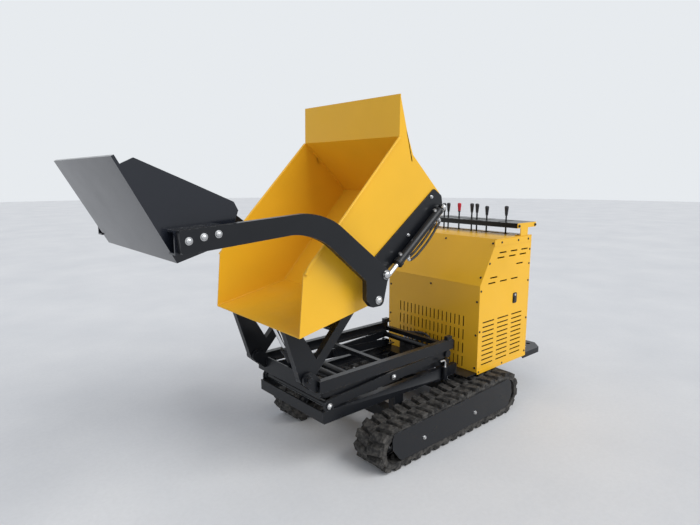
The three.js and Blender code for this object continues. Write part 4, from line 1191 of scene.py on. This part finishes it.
# Both below are (x, z) in the skip's own frame.
SKIP_FLOOR_WELDS = (((327, 240), (0, 0)), ((0, 0), (SKIP_REAR, 0)), ((SKIP_REAR, 0), (SKIP_REAR, 375)))
RIM = ((-638, 372), (-400, 379), (0, 389.5), (100, 391), (119, 384))
RIM_Y = 353.5
RIM_RADIUS = 6.5
WELD_RADIUS = 3
CROSS_TUBE_XS = (-250, 250)
CROSS_TUBE_HALF = 30.6
TRACK_FRAME_Y = 311.6


def skip_rim(bm):
    """The rolled edge along the top of the skip's side."""
    tube(bm, [SKIP @ Vector((x, RIM_Y, z)) for x, z in RIM], RIM_RADIUS, sides=5)


def skip_welds(bm):
    """Beads inside the skip, where its side meets the chute, the floor and the rear."""
    y = SKIP_INSIDE - 0.8
    for start, end in SKIP_FLOOR_WELDS:
        along = (Vector(end) - Vector(start)).normalized()
        inward = Vector((along.y, 0, -along.x)) * 1.2
        ends = [Vector((x, y, z)) + inward for x, z in (start, end)]
        bead(bm, *ends, WELD_RADIUS, SKIP)


def track_frame_welds(bm):
    """Beads beside the cross tubes, on the track's frame."""
    for middle in CROSS_TUBE_XS:
        for x in (middle - CROSS_TUBE_HALF, middle + CROSS_TUBE_HALF):
            bead(bm, (x, TRACK_FRAME_Y, 112), (x, TRACK_FRAME_Y, 148), WELD_RADIUS)


pair("skip_rim", skip_rim, [YELLOW], "skip")
pair("skip_welds", skip_welds, [YELLOW], "skip")
pair("track_frame_welds", track_frame_welds, [BLACK], "chassis")

# ---------- Floor, light and background ----------

FLOOR_RADIUS = 30
SKY_STRENGTH = 0.5


def add_floor():
    bm = bmesh.new()
    bmesh.ops.create_circle(bm, cap_ends=True, segments=96, radius=FLOOR_RADIUS)
    mesh = bpy.data.meshes.new("floor")
    bm.to_mesh(mesh)
    bm.free()

    def build(tree):
        patches = spread(tree, noise(tree, 1.1, detail=8, roughness=0.6), 0.3, 0.7)
        specks = spread(tree, noise(tree, 45, detail=6, roughness=0.7), 0.35, 0.7)
        pale = blend_colour(tree, patches, (0.60, 0.605, 0.61, 1), (0.68, 0.68, 0.675, 1))
        return {
            "Base Color": blend_colour(tree, times(tree, specks, 0.25), pale, (0.52, 0.52, 0.515, 1)),
            "Roughness": 0.85,
            "Normal": bump(tree, noise(tree, 60, detail=6), 0.12, 0.003),
        }

    mesh.materials.append(surface("floor_concrete", build))
    floor = bpy.data.objects.new("floor", mesh)
    bpy.context.scene.collection.objects.link(floor)


def add_sun(name, toward, strength, spread_degrees):
    sun = bpy.data.lights.new(name, "SUN")
    sun.energy = strength
    sun.angle = math.radians(spread_degrees)
    holder = bpy.data.objects.new(name, sun)
    holder.rotation_euler = Vector(toward).to_track_quat("Z", "Y").to_euler()
    bpy.context.scene.collection.objects.link(holder)


def set_world():
    """A soft sky that lights the machine, and a pale backdrop where the camera and gloss see it."""
    world = bpy.data.worlds.new("studio")
    world.use_nodes = True
    tree = world.node_tree
    tree.nodes.clear()
    seen = node(tree, "LightPath")
    shown = either(tree, seen.outputs["Is Camera Ray"],
                   either(tree, seen.outputs["Is Glossy Ray"], seen.outputs["Is Transmission Ray"]))
    light = node(tree, "Background", {"Color": (0.82, 0.88, 1.0, 1), "Strength": SKY_STRENGTH})
    backdrop = node(tree, "Background", {"Color": (0.80, 0.83, 0.86, 1), "Strength": 1.0})
    mixed = node(tree, "MixShader", {0: shown, 1: light.outputs[0], 2: backdrop.outputs[0]})
    node(tree, "OutputWorld", {"Surface": mixed.outputs[0]})
    bpy.context.scene.world = world


add_floor()
add_sun("side_light", (-0.25, 0.78, 0.72), strength=2.35, spread_degrees=45)
add_sun("front_light", (0.9, 0.2, 0.6), strength=0.6, spread_degrees=80)
set_world()
bpy.context.scene.view_settings.view_transform = "Standard"
